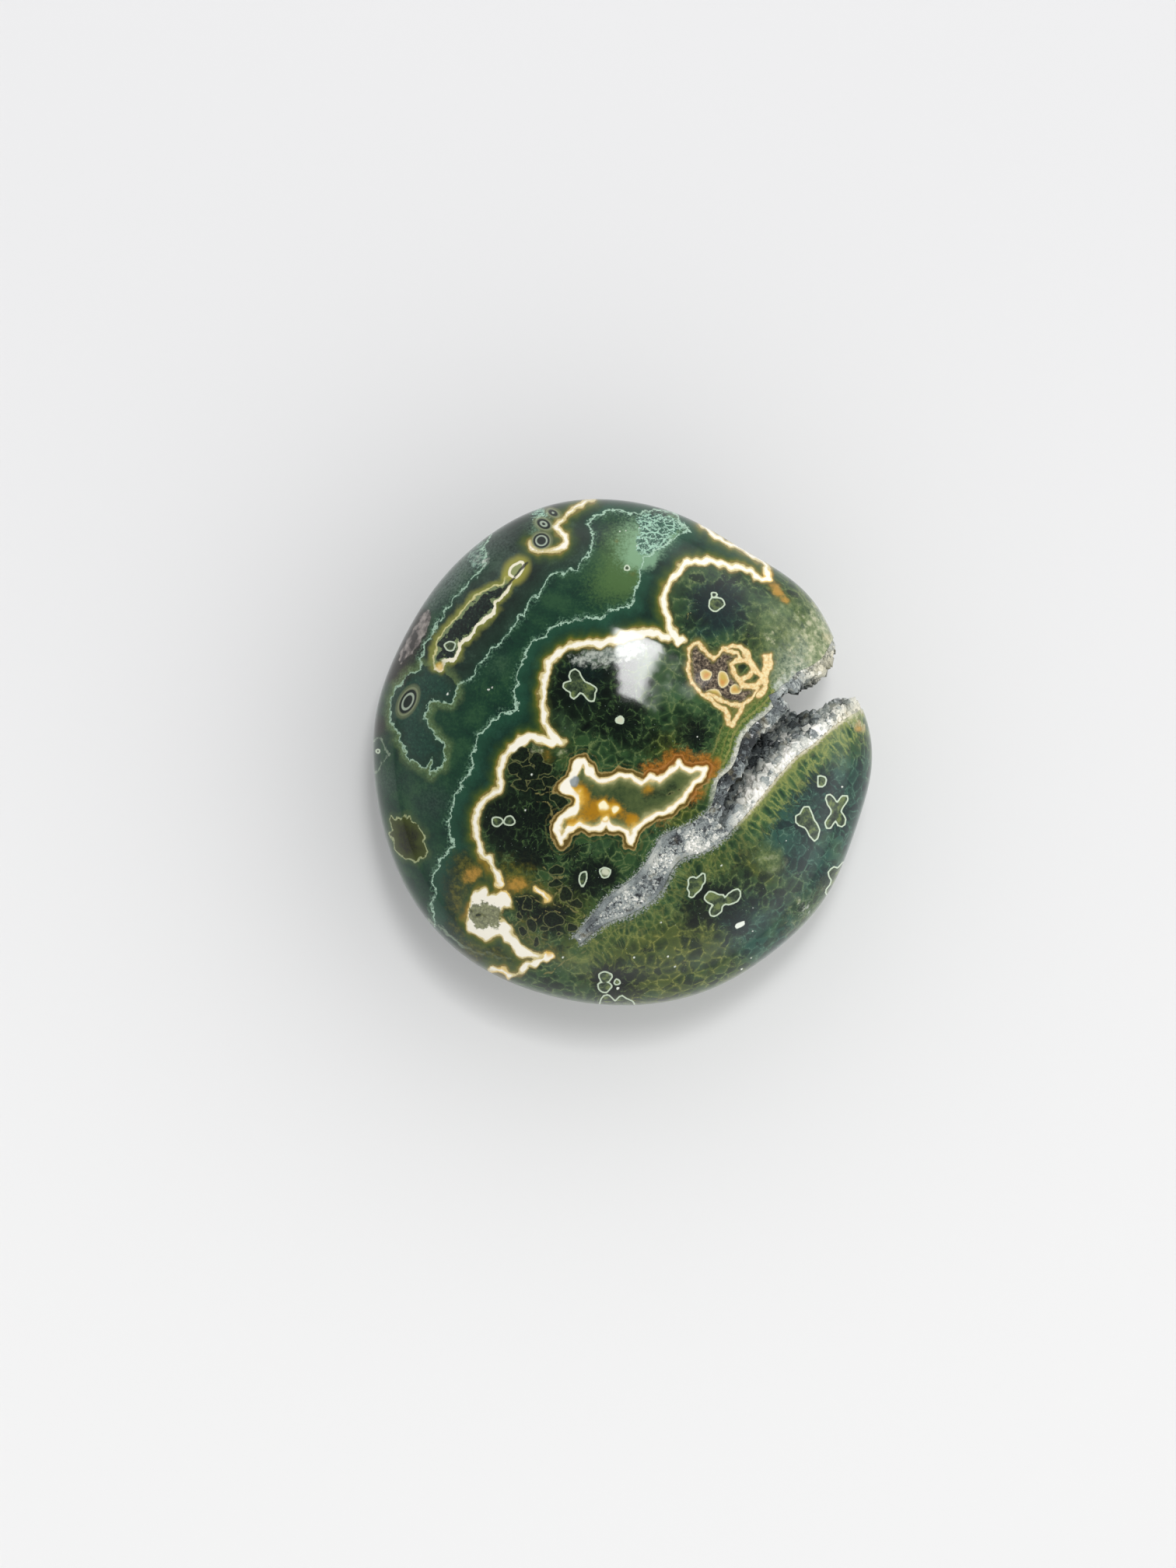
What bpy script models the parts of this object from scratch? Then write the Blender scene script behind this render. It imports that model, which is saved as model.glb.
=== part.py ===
"""Polished palm stone of green banded agate with a cleft lined by quartz crystals.

Lengths in the tables are millimetres, seen from above: X to the right, Y up the face, Z out of it.
The stone lies on the small flat spot of its underside, face up.
"""

import math
import random

import bmesh
import bpy
import numpy as np
from mathutils import Matrix, Vector

MM = 0.001

# Driving sizes of the body
FULL_THICKNESS = 30.0
RIM_HEIGHT = 14.5
UNDERSIDE_DROP = 15.1
PROFILE_POWER = 2.3
OUTLINE_HARMONICS = 11
BODY_SEGMENTS = 58
BODY_RINGS = 30

# Driving sizes of the cleft and of its crust
CRUST_GAP = 0.3
CRUST_THICKNESS = 0.95
CRUST_RIM_DROP = 0.75
POLISH_DROP = 0.15
SLOT_MARGIN = 1.45
SLOT_FLARE = 1.2
SLOT_FLARE_HEIGHT = 9.0
NOTCH_FLOOR_HEIGHT = 11.5
ABOVE_FACE = 38.0
BELOW_BASE = -4.0
CRYSTAL_SPACING = 2.9
VEIN_SPACING = 1.9
CRYSTAL_FOOT = 0.5
CRYSTAL_SEED = 5

# Outline of the body, anticlockwise from the right-hand tip
OUTLINE = [
    (34.9, 2.2), (34.3, 4.7), (33.4, 7.2), (32.1, 10.2), (30.8, 13.0), (29.8, 15.2), (28.5, 18.9),
    (27.0, 21.1), (25.4, 22.8), (22.8, 24.7), (20.5, 26.1), (18.7, 27.4), (15.0, 29.8), (12.9, 30.9),
    (10.3, 32.1), (8.7, 32.9), (6.0, 34.0), (2.5, 34.9), (-0.7, 35.3), (-4.2, 35.5), (-8.4, 35.0),
    (-12.0, 34.0), (-15.7, 32.1), (-18.9, 30.3), (-22.0, 28.0), (-24.4, 25.1), (-26.7, 22.3),
    (-28.3, 20.1), (-30.3, 17.0), (-32.4, 12.4), (-34.0, 7.4), (-35.0, 2.2), (-35.0, -2.5),
    (-34.6, -5.6), (-33.8, -9.5), (-32.9, -12.9), (-31.4, -17.2), (-29.6, -20.7), (-27.3, -23.8),
    (-24.2, -26.8), (-21.1, -29.6), (-18.1, -31.5), (-15.0, -32.7), (-11.6, -33.8), (-10.0, -34.3),
    (-6.9, -35.1), (-3.8, -35.6), (-0.7, -35.6), (4.0, -35.4), (8.7, -34.7), (12.9, -33.2),
    (16.1, -31.6), (19.1, -29.7), (22.8, -26.8), (25.7, -24.3), (28.5, -20.4), (30.5, -16.9),
    (32.2, -12.8), (33.3, -9.5), (34.3, -6.3), (34.8, -3.3), (35.0, -0.3),
]

# Mouth of the cleft from the outer notch to the thin end: left lip, right lip, depth
MOUTH = [
    ((31.5, 18.6), (37.2, 6.9), 0.0),
    ((29.3, 15.2), (34.0, 5.9), 0.0),
    ((27.8, 13.0), (31.8, 4.9), 0.0),
    ((25.9, 11.7), (29.8, 3.7), 0.0),
    ((24.2, 10.9), (28.3, 2.5), 0.0),
    ((22.9, 9.4), (27.0, 1.3), 0.0),
    ((21.6, 7.0), (25.5, 0.2), 12.0),
    ((19.8, 5.0), (24.0, -0.9), 11.2),
    ((18.0, 3.6), (22.7, -2.3), 10.4),
    ((16.6, 1.8), (21.5, -3.6), 9.6),
    ((15.9, -0.4), (20.2, -5.2), 8.6),
    ((15.0, -2.4), (19.0, -6.7), 7.6),
    ((13.3, -4.0), (17.7, -8.3), 6.6),
    ((12.7, -6.2), (16.2, -9.9), 5.4),
    ((11.8, -8.4), (14.2, -12.1), 4.2),
    ((8.8, -10.4), (11.5, -14.0), 3.4),
    ((5.6, -11.7), (8.6, -14.9), 2.9),
    ((4.0, -14.1), (7.0, -16.5), 2.5),
    ((2.2, -16.9), (6.0, -18.7), 2.3),
    ((0.2, -18.6), (4.4, -20.8), 2.2),
    ((-2.4, -20.5), (1.2, -22.8), 2.0),
    ((-4.0, -22.5), (-1.7, -23.8), 1.9),
    ((-5.6, -24.4), (-4.2, -25.5), 1.7),
    ((-6.9, -25.8), (-5.8, -26.9), 1.5),
]
HOLLOW_STATIONS = 20
VEIN_STATION = 14

# Edges of the open gap at the notch, from outside to its inner end: left edge, right edge
GAP_EDGES = [
    ((31.8, 16.8), (37.3, 6.4)),
    ((29.6, 13.4), (33.7, 7.0)),
    ((28.3, 10.8), (31.3, 7.3)),
    ((27.0, 9.35), (29.2, 6.9)),
    ((25.4, 8.8), (27.4, 5.6)),
    ((23.6, 8.3), (25.0, 5.1)),
    ((22.6, 7.7), (23.7, 5.2)),
    ((22.1, 7.0), (22.6, 5.9)),
]

# Cross-section of the cleft: share of the way across, share of the way down
CLEFT_PROFILE = [
    (0.0, 0.03),
    (0.0, 0.30),
    (0.02, 0.62),
    (0.08, 0.90),
    (0.20, 1.00),
    (0.36, 0.95),
    (0.53, 0.78),
    (0.70, 0.52),
    (0.86, 0.24),
    (1.0, 0.03),
]


def harmonic_rows(angles):
    """Return one row of cosine and sine terms for each angle."""
    angles = np.asarray(angles, dtype=float)
    columns = [np.ones_like(angles)]
    for order in range(1, OUTLINE_HARMONICS + 1):
        columns.append(np.cos(order * angles))
        columns.append(np.sin(order * angles))
    return np.stack(columns, axis=-1)


def fit_outline():
    """Fit the smooth closed rim to the outline points."""
    points = np.array(OUTLINE)
    angles = np.arctan2(points[:, 1], points[:, 0])
    radii = np.hypot(points[:, 0], points[:, 1])
    return np.linalg.lstsq(harmonic_rows(angles), radii, rcond=None)[0]


RIM_TERMS = fit_outline()


def rim_radius(angle):
    """Radius of the rim in the given direction."""
    return float((harmonic_rows([angle]) @ RIM_TERMS)[0])


def dome_share(x, y):
    """Share of the full dome that is left at a plan position, 1 at the middle and 0 at the rim."""
    share = min(math.hypot(x, y) / rim_radius(math.atan2(y, x)), 1.0)
    return (1.0 - share ** PROFILE_POWER) ** (1.0 / PROFILE_POWER)


def face_height(x, y):
    """Height of the polished face above the base; outside the rim it stays at rim height."""
    return RIM_HEIGHT + (FULL_THICKNESS - RIM_HEIGHT) * dome_share(x, y)


def underside_height(x, y):
    """Height of the underside above the base."""
    return max(RIM_HEIGHT - UNDERSIDE_DROP * dome_share(x, y), 0.0)


def clear_scene():
    """Remove every object of the scene."""
    for item in list(bpy.data.objects):
        bpy.data.objects.remove(item, do_unlink=True)


def make_material(name, colour, roughness):
    """Make a plain non-metal material."""
    material = bpy.data.materials.new(name)
    material.use_nodes = True
    shader = material.node_tree.nodes["Principled BSDF"]
    shader.inputs["Base Color"].default_value = (*colour, 1.0)
    shader.inputs["Roughness"].default_value = roughness
    shader.inputs["Metallic"].default_value = 0.0
    return material


def add_object(name, bm, collection):
    """Turn a bmesh into an object of the collection."""
    bmesh.ops.recalc_face_normals(bm, faces=bm.faces)
    mesh = bpy.data.meshes.new(name)
    bm.to_mesh(mesh)
    bm.free()
    item = bpy.data.objects.new(name, mesh)
    collection.objects.link(item)
    return item


def mark_cutter(item):
    """Show a cutter as wires and leave it out of renders."""
    item.display_type = "WIRE"
    item.hide_render = True
    return item


def combine(item, operation, other, solver="EXACT"):
    """Add a Boolean with the other object."""
    modifier = item.modifiers.new(other.name, "BOOLEAN")
    modifier.operation = operation
    modifier.solver = solver
    if solver == "EXACT":
        modifier.use_self = operation == "UNION"
    modifier.object = other


def pebble_mesh(segments, rings, drop):
    """Make the rounded body as a shaped sphere, lowered by a distance under its own surface."""
    bm = bmesh.new()
    bmesh.ops.create_uvsphere(bm, u_segments=segments, v_segments=rings, radius=1.0)
    power = 2.0 / PROFILE_POWER
    for vert in bm.verts:
        flat = min(math.hypot(vert.co.x, vert.co.y), 1.0)
        rise = abs(vert.co.z) ** power
        angle = math.atan2(vert.co.y, vert.co.x)
        reach = flat ** power * (rim_radius(angle) - drop)
        if vert.co.z >= 0.0:
            height = RIM_HEIGHT + rise * (FULL_THICKNESS - RIM_HEIGHT - drop)
        else:
            height = RIM_HEIGHT - rise * (UNDERSIDE_DROP - drop)
        vert.co = Vector((reach * math.cos(angle), reach * math.sin(angle), height)) * MM
    return bm


def flatten_base(bm):
    """Grind the small flat spot that the stone rests on."""
    everything = list(bm.verts) + list(bm.edges) + list(bm.faces)
    bmesh.ops.bisect_plane(
        bm, geom=everything, plane_co=(0.0, 0.0, 0.0), plane_no=(0.0, 0.0, -1.0), clear_outer=True
    )
    bmesh.ops.holes_fill(bm, edges=[edge for edge in bm.edges if edge.is_boundary])


def tube_mesh(sections):
    """Make a closed tube through equal rings of points, with flat ends."""
    rows = len(sections)
    columns = len(sections[0])
    bm = bmesh.new()
    bmesh.ops.create_grid(bm, x_segments=columns, y_segments=rows - 1, size=1.0)
    for vert in bm.verts:
        column = round((vert.co.x + 1.0) * columns / 2.0)
        row = round((vert.co.y + 1.0) * (rows - 1) / 2.0)
        vert.co = sections[row][column % columns] * MM
    bmesh.ops.remove_doubles(bm, verts=bm.verts, dist=0.000001)
    bmesh.ops.triangulate(bm, faces=bm.faces, quad_method="FIXED")
    bmesh.ops.holes_fill(bm, edges=[edge for edge in bm.edges if edge.is_boundary])
    return bm


def cleft_point(station, across, down, inset):
    """Point of the cleft wall, moved into the open space by the inset."""
    left, right, depth = MOUTH[station]
    left = Vector(left)
    right = Vector(right)
    side = (right - left).normalized()
    spot = (left + side * inset).lerp(right - side * inset, across)
    top = face_height(*left) * (1.0 - across) + face_height(*right) * across
    if depth == 0.0:
        depth = top - NOTCH_FLOOR_HEIGHT
    return Vector((spot.x, spot.y, top - down * (depth - inset)))


def trench_mesh(inset, stations):
    """Make the hollow of the cleft, open above the face."""
    sections = []
    for station in range(stations):
        ring = [cleft_point(station, across, down, inset) for across, down in CLEFT_PROFILE]
        lid_left = Vector((ring[0].x, ring[0].y, ABOVE_FACE))
        lid_right = Vector((ring[-1].x, ring[-1].y, ABOVE_FACE))
        sections.append([lid_left] + ring + [lid_right])
    return tube_mesh(sections)


def slot_pair(index, inset):
    """Plan position of both slot walls at one place of the notch, for a wall inset."""
    left, right = (Vector(spot) for spot in GAP_EDGES[index])
    side = (right - left).normalized()
    shift = inset - SLOT_MARGIN
    left = left + side * shift
    right = right - side * shift
    if index == len(GAP_EDGES) - 1:
        inward = Vector((side.y, -side.x))
        if inward.x > 0.0:
            inward = -inward
        left = left - inward * shift
        right = right - inward * shift
    return left, right, side


def slot_mesh(inset):
    """Make the part of the notch that is open right through, wider at the underside."""
    sections = []
    for index in range(len(GAP_EDGES)):
        left, right, side = slot_pair(index, inset)
        low_left = left - side * SLOT_FLARE
        low_right = right + side * SLOT_FLARE
        sections.append([
            Vector((left.x, left.y, ABOVE_FACE)),
            Vector((left.x, left.y, SLOT_FLARE_HEIGHT)),
            Vector((low_left.x, low_left.y, BELOW_BASE)),
            Vector((low_right.x, low_right.y, BELOW_BASE)),
            Vector((right.x, right.y, SLOT_FLARE_HEIGHT)),
            Vector((right.x, right.y, ABOVE_FACE)),
        ])
    return tube_mesh(sections)


def cleft_cutters(prefix, inset, stations, collection):
    """Make the trench and slot cutters for one inset."""
    trench = mark_cutter(add_object(prefix + "_trench", trench_mesh(inset, stations), collection))
    slot = mark_cutter(add_object(prefix + "_slot", slot_mesh(inset), collection))
    return trench, slot


def add_crystal(bm, root, direction, width, length, turn):
    """Add one six-sided quartz point with its foot buried in the crust."""
    upright = direction.to_track_quat("Z", "Y").to_matrix().to_4x4()
    place = Matrix.Translation(root * MM) @ upright @ Matrix.Rotation(turn, 4, "Z")
    shaft = length * 0.62
    made = bmesh.ops.create_cone(
        bm, cap_ends=True, cap_tris=False, segments=6, radius1=width * MM / 2.0,
        radius2=width * MM / 2.0, depth=shaft * MM,
        matrix=place @ Matrix.Translation((0.0, 0.0, shaft * MM / 2.0)),
    )
    tip = place @ Vector((0.0, 0.0, length * MM))
    caps = {face for vert in made["verts"] for face in vert.link_faces if len(face.verts) == 6}
    cap = min(caps, key=lambda face: (face.calc_center_median() - tip).length)
    centre = bmesh.ops.poke(bm, faces=[cap])["verts"][0]
    centre.co = tip


def trench_places(chooser):
    """Yield root, direction and station of each crystal over the walls of the trench."""
    inset = CRUST_GAP + CRUST_THICKNESS
    for station in range(1, VEIN_STATION):
        left, right, _ = MOUTH[station]
        middle = (Vector(left) + Vector(right)) / 2.0
        target = Vector((middle.x, middle.y, face_height(middle.x, middle.y) + 1.0))
        for step in range(station % 2, len(CLEFT_PROFILE) - 1, 2):
            across, down = CLEFT_PROFILE[step]
            across_next, down_next = CLEFT_PROFILE[step + 1]
            near = cleft_point(station, across, down, inset)
            near_next = cleft_point(station, across_next, down_next, inset)
            far = cleft_point(station + 1, across, down, inset)
            far_next = cleft_point(station + 1, across_next, down_next, inset)
            normal = (near_next - near + far_next - far).cross(far - near + far_next - near_next)
            area = normal.length / 4.0
            normal.normalize()
            if normal.dot(target - near) < 0.0:
                normal = -normal
            for _ in range(round(area / CRYSTAL_SPACING ** 2 + 0.45)):
                share = chooser.random()
                spot = near.lerp(near_next, share).lerp(far.lerp(far_next, share), chooser.random())
                spot.z = min(spot.z, face_height(spot.x, spot.y) - 1.3)
                yield spot, normal, station


def vein_places(chooser):
    """Yield root, direction and station of each crystal along the shallow vein."""
    for station in range(VEIN_STATION, len(MOUTH) - 1):
        corners = []
        for left, right, _ in MOUTH[station:station + 2]:
            corners += [Vector(left), Vector(right)]
        width = (corners[1] - corners[0]).length + (corners[3] - corners[2]).length
        run = (corners[2] + corners[3] - corners[0] - corners[1]).length / 2.0
        for _ in range(int(width * run / 2.0 / VEIN_SPACING ** 2 + chooser.random())):
            share = chooser.uniform(0.22, 0.78)
            near = corners[0].lerp(corners[1], share)
            spot = near.lerp(corners[2].lerp(corners[3], share), chooser.random())
            height = face_height(spot.x, spot.y) - CRUST_RIM_DROP
            yield Vector((spot.x, spot.y, height)), Vector((0.0, 0.0, 1.0)), station


def slot_places(chooser):
    """Yield root, direction and station of each crystal on the walls of the open gap."""
    inset = CRUST_GAP + CRUST_THICKNESS
    for index in range(1, len(GAP_EDGES) - 1):
        near = slot_pair(index, inset)
        far = slot_pair(index + 1, inset)
        for wall, sign in ((0, 1.0), (1, -1.0)):
            run = (far[wall] - near[wall]).length
            for _ in range(int(run * 8.0 / CRYSTAL_SPACING ** 2 + chooser.random())):
                spot = near[wall].lerp(far[wall], chooser.random())
                inward = near[2] * sign
                height = chooser.uniform(underside_height(*spot) + 1.3, NOTCH_FLOOR_HEIGHT + 2.5)
                if height > underside_height(*spot) + 1.2:
                    yield Vector((*spot, height)), Vector((*inward, 0.0)), index


def in_gap(x, y):
    """Tell whether a plan position lies in the open gap between its crusted walls."""
    inset = CRUST_GAP + CRUST_THICKNESS
    for index in range(len(GAP_EDGES) - 1):
        near_left, near_right, _ = slot_pair(index, inset)
        far_left, far_right, _ = slot_pair(index + 1, inset)
        loop = [near_left, near_right, far_right, far_left]
        turns = []
        for start, end in zip(loop, loop[1:] + loop[:1]):
            turns.append((end - start).cross(Vector((x, y)) - start) > 0.0)
        if all(turns) or not any(turns):
            return True
    return False


def crystal_mesh():
    """Scatter quartz points over the whole crust."""
    chooser = random.Random(CRYSTAL_SEED)
    places = [place for place in trench_places(chooser) if not in_gap(place[0].x, place[0].y)]
    places += list(slot_places(chooser))
    places += list(vein_places(chooser))
    bm = bmesh.new()
    for spot, normal, station in places:
        lean = Vector((chooser.uniform(-0.4, 0.4), chooser.uniform(-0.4, 0.4), chooser.uniform(-0.1, 0.5)))
        direction = (normal + lean).normalized()
        width = chooser.uniform(1.3, 2.3)
        length = width * chooser.uniform(0.75, 1.1) + CRYSTAL_FOOT
        if station >= VEIN_STATION:
            width *= 0.85
            length = CRYSTAL_FOOT + chooser.uniform(0.35, 0.8)
        foot = spot - direction * CRYSTAL_FOOT
        add_crystal(bm, foot, direction, width, length, chooser.uniform(0.0, 1.0))
    return bm


def build_stone(collection, cutters):
    """Make the polished body and cut the cleft into it."""
    bm = pebble_mesh(BODY_SEGMENTS, BODY_RINGS, 0.0)
    flatten_base(bm)
    stone = add_object("stone", bm, collection)
    stone.data.materials.append(make_material("green_agate", (0.045, 0.11, 0.07), 0.12))
    for cutter in cleft_cutters("cleft", 0.0, len(MOUTH), cutters):
        combine(stone, "DIFFERENCE", cutter)
    return stone


def build_crust(collection, cutters):
    """Make the lining of the cleft with its crystals, trimmed under the polished face."""
    bm = bmesh.new()
    place = Matrix.Translation(Vector((14.5, -5.0, 15.0)) * MM) @ Matrix.Diagonal((0.060, 0.060, 0.040, 1.0))
    bmesh.ops.create_cube(bm, size=1.0, matrix=place)
    crust = add_object("quartz_crust", bm, collection)
    crust.data.materials.append(make_material("quartz", (0.52, 0.53, 0.51), 0.4))
    inner = cleft_cutters("crust_inner", CRUST_GAP + CRUST_THICKNESS, HOLLOW_STATIONS, cutters)
    for cutter in inner:
        combine(crust, "DIFFERENCE", cutter)
    rim = mark_cutter(add_object("crust_rim", pebble_mesh(56, 30, CRUST_RIM_DROP), cutters))
    combine(crust, "INTERSECT", rim)
    crystals = mark_cutter(add_object("crystals", crystal_mesh(), cutters))
    combine(crust, "UNION", crystals)
    outer, outer_slot = cleft_cutters("crust_outer", CRUST_GAP, len(MOUTH), cutters)
    combine(outer, "UNION", outer_slot)
    combine(crust, "INTERSECT", outer, solver="MANIFOLD")
    polish = mark_cutter(add_object("crust_polish", pebble_mesh(56, 30, POLISH_DROP), cutters))
    combine(crust, "INTERSECT", polish, solver="MANIFOLD")
    return crust


def main():
    """Build the palm stone."""
    clear_scene()
    collection = bpy.data.collections.new("palm_stone")
    cutters = bpy.data.collections.new("cutters")
    bpy.context.scene.collection.children.link(collection)
    bpy.context.scene.collection.children.link(cutters)
    build_stone(collection, cutters)
    build_crust(collection, cutters)


main()
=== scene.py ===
"""Dressed model of a polished palm stone: green banded agate and flower jasper, split by a cleft.

Tables are in millimetres, seen from above: X to the right, Y up the face, Z out of it. Meshes are
in metres. The stone lies on the small flat spot of its underside with its polished face up.
"""

import logging
import math
from dataclasses import dataclass, field
from enum import Enum
from typing import Union

import bpy
import numpy as np
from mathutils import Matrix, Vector


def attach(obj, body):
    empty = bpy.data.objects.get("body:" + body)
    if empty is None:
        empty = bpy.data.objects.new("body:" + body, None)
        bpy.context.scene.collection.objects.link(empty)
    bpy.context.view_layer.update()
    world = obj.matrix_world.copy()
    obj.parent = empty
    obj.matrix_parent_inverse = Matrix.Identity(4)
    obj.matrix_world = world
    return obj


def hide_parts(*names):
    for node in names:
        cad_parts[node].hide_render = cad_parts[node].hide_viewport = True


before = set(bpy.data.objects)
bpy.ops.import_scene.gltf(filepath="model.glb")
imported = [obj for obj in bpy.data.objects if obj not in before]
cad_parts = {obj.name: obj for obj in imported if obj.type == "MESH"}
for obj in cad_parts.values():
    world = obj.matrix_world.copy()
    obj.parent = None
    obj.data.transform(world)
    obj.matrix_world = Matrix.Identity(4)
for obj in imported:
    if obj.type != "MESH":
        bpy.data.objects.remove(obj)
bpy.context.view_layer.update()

LOG = logging.getLogger("palm_stone")
Socket = bpy.types.NodeSocket
Value = Union[Socket, float, str, None]

# A millimetre in metres
MM = 0.001
# Depth that is given where no figure is near
FAR = -6.0
# Points that are measured at a time
BLOCK = 12000
# Round number for the stone's radius, to space the corners of its rings
MEAN_RADIUS = 35.0
# Number of steps on a line from the top of the body to its underside
ARC_STEPS = 4000
# Number of places along the gap's walls and along the cleft's lips
GAP_STATIONS = 36
LIP_STATIONS = 116
# Number of sides and corners of a crystal
SIDES = 6
CORNERS = 2 * SIDES + 1

# Outline of the body, anticlockwise from the right-hand tip
OUTLINE = [
    (34.9, 2.2), (34.3, 4.7), (33.4, 7.2), (32.1, 10.2), (30.8, 13.0), (29.8, 15.2), (28.5, 18.9), (27.0, 21.1),
    (25.4, 22.8), (22.8, 24.7), (20.5, 26.1), (18.7, 27.4), (15.0, 29.8), (12.9, 30.9), (10.3, 32.1),
    (8.7, 32.9), (6.0, 34.0), (2.5, 34.9), (-0.7, 35.3), (-4.2, 35.5), (-8.4, 35.0), (-12.0, 34.0),
    (-15.7, 32.1), (-18.9, 30.3), (-22.0, 28.0), (-24.4, 25.1), (-26.7, 22.3), (-28.3, 20.1), (-30.3, 17.0),
    (-32.4, 12.4), (-34.0, 7.4), (-35.0, 2.2), (-35.0, -2.5), (-34.6, -5.6), (-33.8, -9.5), (-32.9, -12.9),
    (-31.4, -17.2), (-29.6, -20.7), (-27.3, -23.8), (-24.2, -26.8), (-21.1, -29.6), (-18.1, -31.5),
    (-15.0, -32.7), (-11.6, -33.8), (-10.0, -34.3), (-6.9, -35.1), (-3.8, -35.6), (-0.7, -35.6), (4.0, -35.4),
    (8.7, -34.7), (12.9, -33.2), (16.1, -31.6), (19.1, -29.7), (22.8, -26.8), (25.7, -24.3), (28.5, -20.4),
    (30.5, -16.9), (32.2, -12.8), (33.3, -9.5), (34.3, -6.3), (34.8, -3.3), (35.0, -0.3),
]

# Mouth of the cleft from the outer notch to the thin end: left lip, right lip, depth (0: to the notch floor)
MOUTH = [
    ((31.5, 18.6), (37.2, 6.9), 0.0), ((29.3, 15.2), (34.0, 5.9), 0.0), ((27.8, 13.0), (31.8, 4.9), 0.0),
    ((25.9, 11.7), (29.8, 3.7), 0.0), ((24.2, 10.9), (28.3, 2.5), 0.0), ((22.9, 9.4), (27.0, 1.3), 0.0),
    ((21.6, 7.0), (25.5, 0.2), 12.0), ((19.8, 5.0), (24.0, -0.9), 11.2), ((18.0, 3.6), (22.7, -2.3), 10.4),
    ((16.6, 1.8), (21.5, -3.6), 9.6), ((15.9, -0.4), (20.2, -5.2), 8.6), ((15.0, -2.4), (19.0, -6.7), 7.6),
    ((13.3, -4.0), (17.7, -8.3), 6.6), ((12.7, -6.2), (16.2, -9.9), 5.4), ((11.8, -8.4), (14.2, -12.1), 4.2),
    ((8.8, -10.4), (11.5, -14.0), 3.4), ((5.6, -11.7), (8.6, -14.9), 2.9), ((4.0, -14.1), (7.0, -16.5), 2.5),
    ((2.2, -16.9), (6.0, -18.7), 2.3), ((0.2, -18.6), (4.4, -20.8), 2.2), ((-2.4, -20.5), (1.2, -22.8), 2.0),
    ((-4.0, -22.5), (-1.7, -23.8), 1.9), ((-5.6, -24.4), (-4.2, -25.5), 1.7),
    ((-6.9, -25.8), (-5.8, -26.9), 1.5),
]

# Edges of the open gap at the notch, from outside to its inner end: left edge, right edge
GAP_EDGES = [
    ((31.8, 16.8), (37.3, 6.4)), ((29.6, 13.4), (33.7, 7.0)), ((28.3, 10.8), (31.3, 7.3)),
    ((27.0, 9.35), (29.2, 6.9)), ((25.4, 8.8), (27.4, 5.6)), ((23.6, 8.3), (25.0, 5.1)),
    ((22.6, 7.7), (23.7, 5.2)), ((22.1, 7.0), (22.6, 5.9)),
]

# Cross-section of the cleft: share of the way across, share of the way down
CLEFT_PROFILE = [
    (0.0, 0.0), (0.0, 0.30), (0.02, 0.62), (0.08, 0.90), (0.20, 1.00), (0.36, 0.95), (0.53, 0.78), (0.70, 0.52),
    (0.86, 0.24), (1.0, 0.0),
]

# Thin pale threads of the agate
THREAD_OUTER = [
    (-19.5, 28.3), (-19.0, 27.7), (-19.5, 26.3), (-18.9, 26.2), (-19.1, 25.7), (-20.0, 25.0), (-20.3, 24.3),
    (-21.2, 23.7), (-22.0, 22.8), (-22.9, 21.7), (-23.7, 21.0), (-24.0, 20.2), (-24.5, 19.7), (-25.2, 18.5),
    (-25.8, 17.9), (-26.0, 17.0), (-26.7, 15.9), (-27.4, 15.3), (-27.9, 13.9), (-28.2, 12.9), (-27.9, 12.2),
]
POCKET_LEFT = [
    (-28.4, 11.1), (-29.7, 11.0), (-30.3, 10.2), (-31.0, 9.4), (-31.7, 8.8), (-32.0, 8.0), (-32.3, 7.0),
    (-32.4, 5.8), (-32.3, 4.3), (-31.8, 3.2), (-31.3, 2.7), (-31.0, 2.4), (-31.3, 1.8), (-30.8, 0.9),
    (-30.2, 0.0), (-30.1, -0.7), (-29.6, -1.4), (-28.6, -1.6), (-28.0, -2.3), (-27.2, -2.5), (-26.9, -1.6),
    (-26.6, -1.0), (-26.5, -1.6), (-26.7, -3.3), (-26.4, -2.8), (-25.6, -2.3), (-25.0, -2.2),
]
POCKET_RIGHT = [
    (-24.9, -1.2), (-24.8, -0.2), (-24.5, 0.6), (-24.9, 1.3), (-25.8, 1.7), (-26.0, 2.3), (-26.4, 3.0),
    (-27.0, 3.6), (-27.5, 4.5), (-27.4, 5.2), (-26.8, 5.8), (-27.0, 6.3), (-26.4, 7.0), (-25.7, 7.2),
    (-25.0, 6.6), (-24.0, 6.6), (-23.5, 6.9),
]
THREAD_MIDDLE = [
    (-23.2, 7.5), (-23.0, 8.5), (-22.8, 9.3), (-22.0, 9.8), (-21.0, 10.0), (-20.5, 10.5), (-20.3, 11.2),
    (-19.9, 12.0), (-19.3, 12.3), (-18.8, 13.2), (-18.2, 14.2), (-17.3, 14.8), (-16.7, 15.4), (-15.9, 16.3),
    (-15.3, 17.1), (-14.8, 17.8), (-14.5, 18.6), (-13.7, 18.6), (-13.5, 19.2), (-13.2, 20.3), (-12.7, 21.0),
    (-12.0, 21.5), (-11.7, 22.0), (-10.9, 22.9), (-10.6, 23.8), (-10.0, 24.4), (-9.3, 24.9), (-8.5, 24.6),
    (-7.5, 25.2), (-6.2, 25.2), (-6.0, 26.0), (-5.3, 26.4), (-4.9, 27.0), (-4.5, 28.0), (-4.2, 29.0),
    (-4.1, 30.2), (-4.3, 30.8), (-5.0, 31.6),
]
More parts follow.
